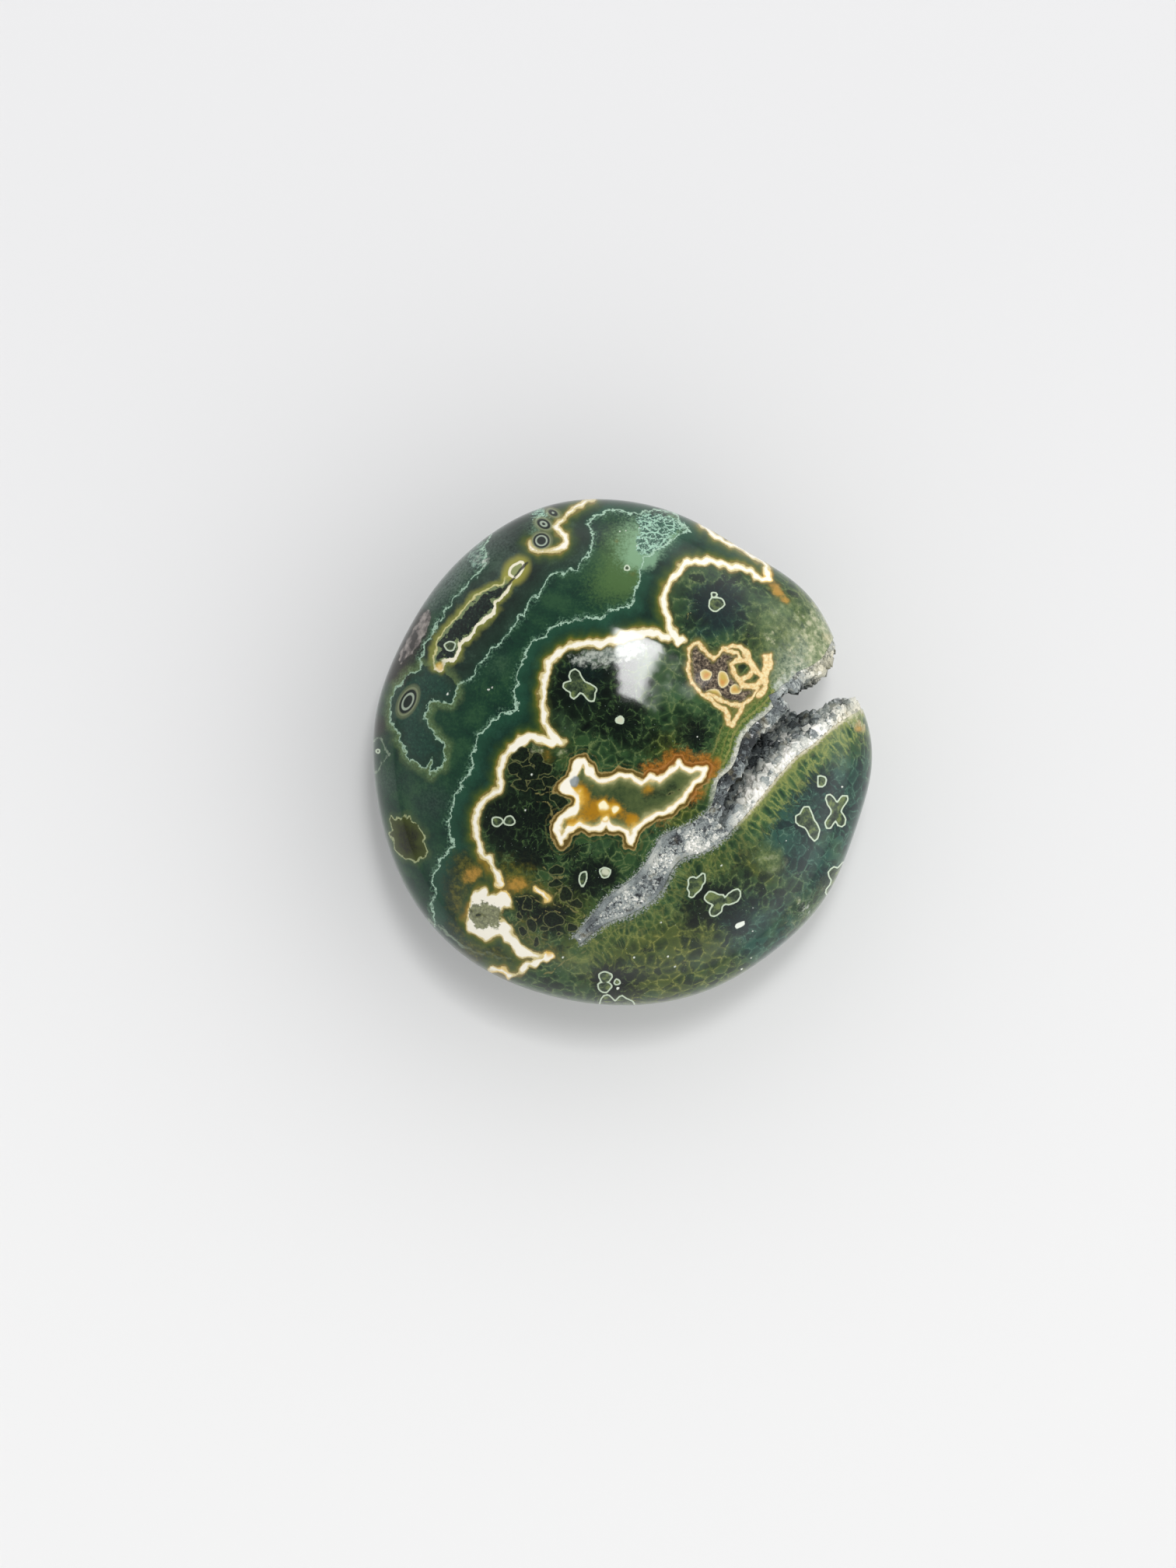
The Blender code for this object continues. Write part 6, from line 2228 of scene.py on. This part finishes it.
    def build(self) -> bpy.types.Object:
        """Build and dress the crust.

        Returns:
            The piece.
        """
        chooser = np.random.default_rng(self.seed)
        batches = [self.grow(chooser, lot) for lot in LOTS]
        base = self.base()
        mesh = base.data
        parts = [positions(mesh)]
        faces = [list(face.vertices) for face in mesh.polygons]
        start = len(parts[0])
        for grid, rows in batches:
            faces += [[start + corner for corner in row] for row in rows]
            parts.append(self.keep_inside(grid))
            start += len(grid)
        crust = add_mesh("quartz_druse", np.concatenate(parts), faces)
        bpy.data.objects.remove(base, do_unlink=True)
        # Paleness of the quartz, with painted shade deep in the cleft and under the left lip.
        tone = self.light(positions(crust.data))
        flicker = chooser.normal(0.0, self.flicker, (start - len(parts[0])) // CORNERS).repeat(CORNERS)
        tone[len(parts[0]):] += flicker
        paint(crust.data, "light", tone)
        paint(crust.data, "earthy", spots(positions(crust.data)[:, :2], EARTHY_SPOTS))
        crust.data.materials.append(self.finish.build())
        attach(crust, "root")
        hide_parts("quartz_crust")
        LOG.info("quartz druse: %d faces", len(crust.data.polygons))
        return crust


@dataclass
class Studio:
    """Floor, soft lights and the camera over the stone.

    Attributes:
        middle: Plan position under the middle of the picture, in millimetres.
        width: Width of the picture at rim height, in millimetres.
        height: Height of the camera over the rim, in metres.
        rim: Height of the rim, in metres.
        daylight: Strength of the room's light.
        aim: Point that the lamps face, in metres.
        reach: Half the floor's width, in millimetres.
        pane_left: Left edge of the window light, in metres.
        panes: Foot, top, right edge and brightness of the window light's rows.
    """

    middle: tuple[float, float] = (-4.81, -4.59)
    width: float = 165.2
    height: float = 1.0
    rim: float = 0.0145
    daylight: float = 2.6
    aim: tuple[float, float, float] = (0.0, 0.0, 0.02)
    reach: float = 2500.0
    pane_left: float = 0.013
    panes: tuple[tuple[float, float, float, float], ...] = (
        (0.135, 0.180, 0.082, 22.0), (0.180, 0.225, 0.103, 24.0), (0.225, 0.270, 0.126, 25.0),
        (0.270, 0.315, 0.150, 26.0), (0.315, 0.360, 0.176, 28.0), (0.360, 0.400, 0.200, 28.0))

    def floor(self) -> bpy.types.Object:
        """Lay the pale floor.

        Returns:
            The floor.
        """
        corners = self.reach * np.array([(-1.0, -1.0, 0.0), (1.0, -1.0, 0.0), (1.0, 1.0, 0.0), (-1.0, 1.0, 0.0)])
        floor = add_mesh("floor", corners, [[0, 1, 2, 3]])
        floor.data.materials.append(FloorFinish().build())
        return floor

    def lamp(self, name: str, place: tuple[float, float, float], size: tuple[float, float],
             radiance: float) -> None:
        """Hang a soft rectangular light that faces the stone.

        Args:
            name: Name of the light.
            place: Where it hangs, in metres.
            size: Its width and height, in metres.
            radiance: Its brightness.
        """
        light = bpy.data.lights.new(name, "AREA")
        light.shape = "RECTANGLE"
        light.size, light.size_y = size
        light.energy = radiance * math.pi * size[0] * size[1]
        item = bpy.data.objects.new(name, light)
        item.location = place
        away = item.location - Vector(self.aim)
        item.rotation_euler = away.to_track_quat("Z", "Y").to_euler()
        bpy.context.scene.collection.objects.link(item)

    def sky(self) -> None:
        """Light the room softly: dim overhead, brightest low in the sky, and brighter on the right than on the
        left.
        """
        world = bpy.data.worlds.new("room")
        bpy.context.scene.world = world
        world.use_nodes = True
        nodes, links = world.node_tree.nodes, world.node_tree.links
        back = nodes["Background"]
        place = nodes.new("ShaderNodeTexCoord")
        side = nodes.new("ShaderNodeVectorMath")
        side.operation = "DOT_PRODUCT"
        links.new(place.outputs["Generated"], side.inputs[0])
        side.inputs[1].default_value = (0.50, 0.02, 0.0)
        split = nodes.new("ShaderNodeSeparateXYZ")
        links.new(place.outputs["Generated"], split.inputs[0])
        rise = nodes.new("ShaderNodeValToRGB")
        rise.color_ramp.elements.new(0.5)
        rise.color_ramp.elements.new(0.75)
        for element, (height, level) in zip(rise.color_ramp.elements, ((0.0, 0.36), (0.3, 0.62), (0.75, 0.22),
                                                                         (1.0, 0.06))):
            element.position = height
            element.color = (level, level, level, 1.0)
        links.new(split.outputs["Z"], rise.inputs["Fac"])
        total = nodes.new("ShaderNodeMath")
        total.operation = "MULTIPLY_ADD"
        links.new(side.outputs["Value"], total.inputs[0])
        links.new(rise.outputs["Color"], total.inputs[1])
        links.new(rise.outputs["Color"], total.inputs[2])
        level = nodes.new("ShaderNodeMath")
        level.operation = "MULTIPLY"
        links.new(total.outputs[0], level.inputs[0])
        level.inputs[1].default_value = self.daylight
        links.new(level.outputs[0], back.inputs["Strength"])
        back.inputs["Color"].default_value = (1.0, 1.0, 1.0, 1.0)

    def camera(self) -> bpy.types.Object:
        """Place the camera straight over the stone.

        Returns:
            The camera.
        """
        data = bpy.data.cameras.new("camera")
        data.sensor_fit = "HORIZONTAL"
        data.sensor_width = 36.0
        data.lens = 36.0 * self.height / (self.width * MM)
        data.clip_end = 20.0
        camera = bpy.data.objects.new("camera", data)
        camera.location = (self.middle[0] * MM, self.middle[1] * MM, self.rim + self.height)
        bpy.context.scene.collection.objects.link(camera)
        bpy.context.scene.camera = camera
        return camera

    def build(self) -> None:
        """Build the whole studio."""
        self.camera()
        self.floor()
        self.sky()
        for number, (low, high, right, radiance) in enumerate(self.panes):
            self.lamp(f"window_{number}", ((self.pane_left + right) / 2.0, (low + high) / 2.0, 1.0),
                      (right - self.pane_left, high - low), radiance)
        self.lamp("curtain", (0.235, 0.240, 1.00), (0.090, 0.150), 3.0)
        bpy.context.scene.view_settings.view_transform = "Standard"
        LOG.info("studio: floor, seven lights and a camera")


def main() -> None:
    """Build the palm stone and its studio."""
    logging.basicConfig(level=logging.INFO, format="%(name)s: %(message)s")
    Studio().build()
    pebble = Pebble()
    cleft = Cleft(pebble)
    PolishedStone(pebble, cleft).build()
    CrystalCrust(pebble, cleft).build()


if __name__ == "__main__":
    main()
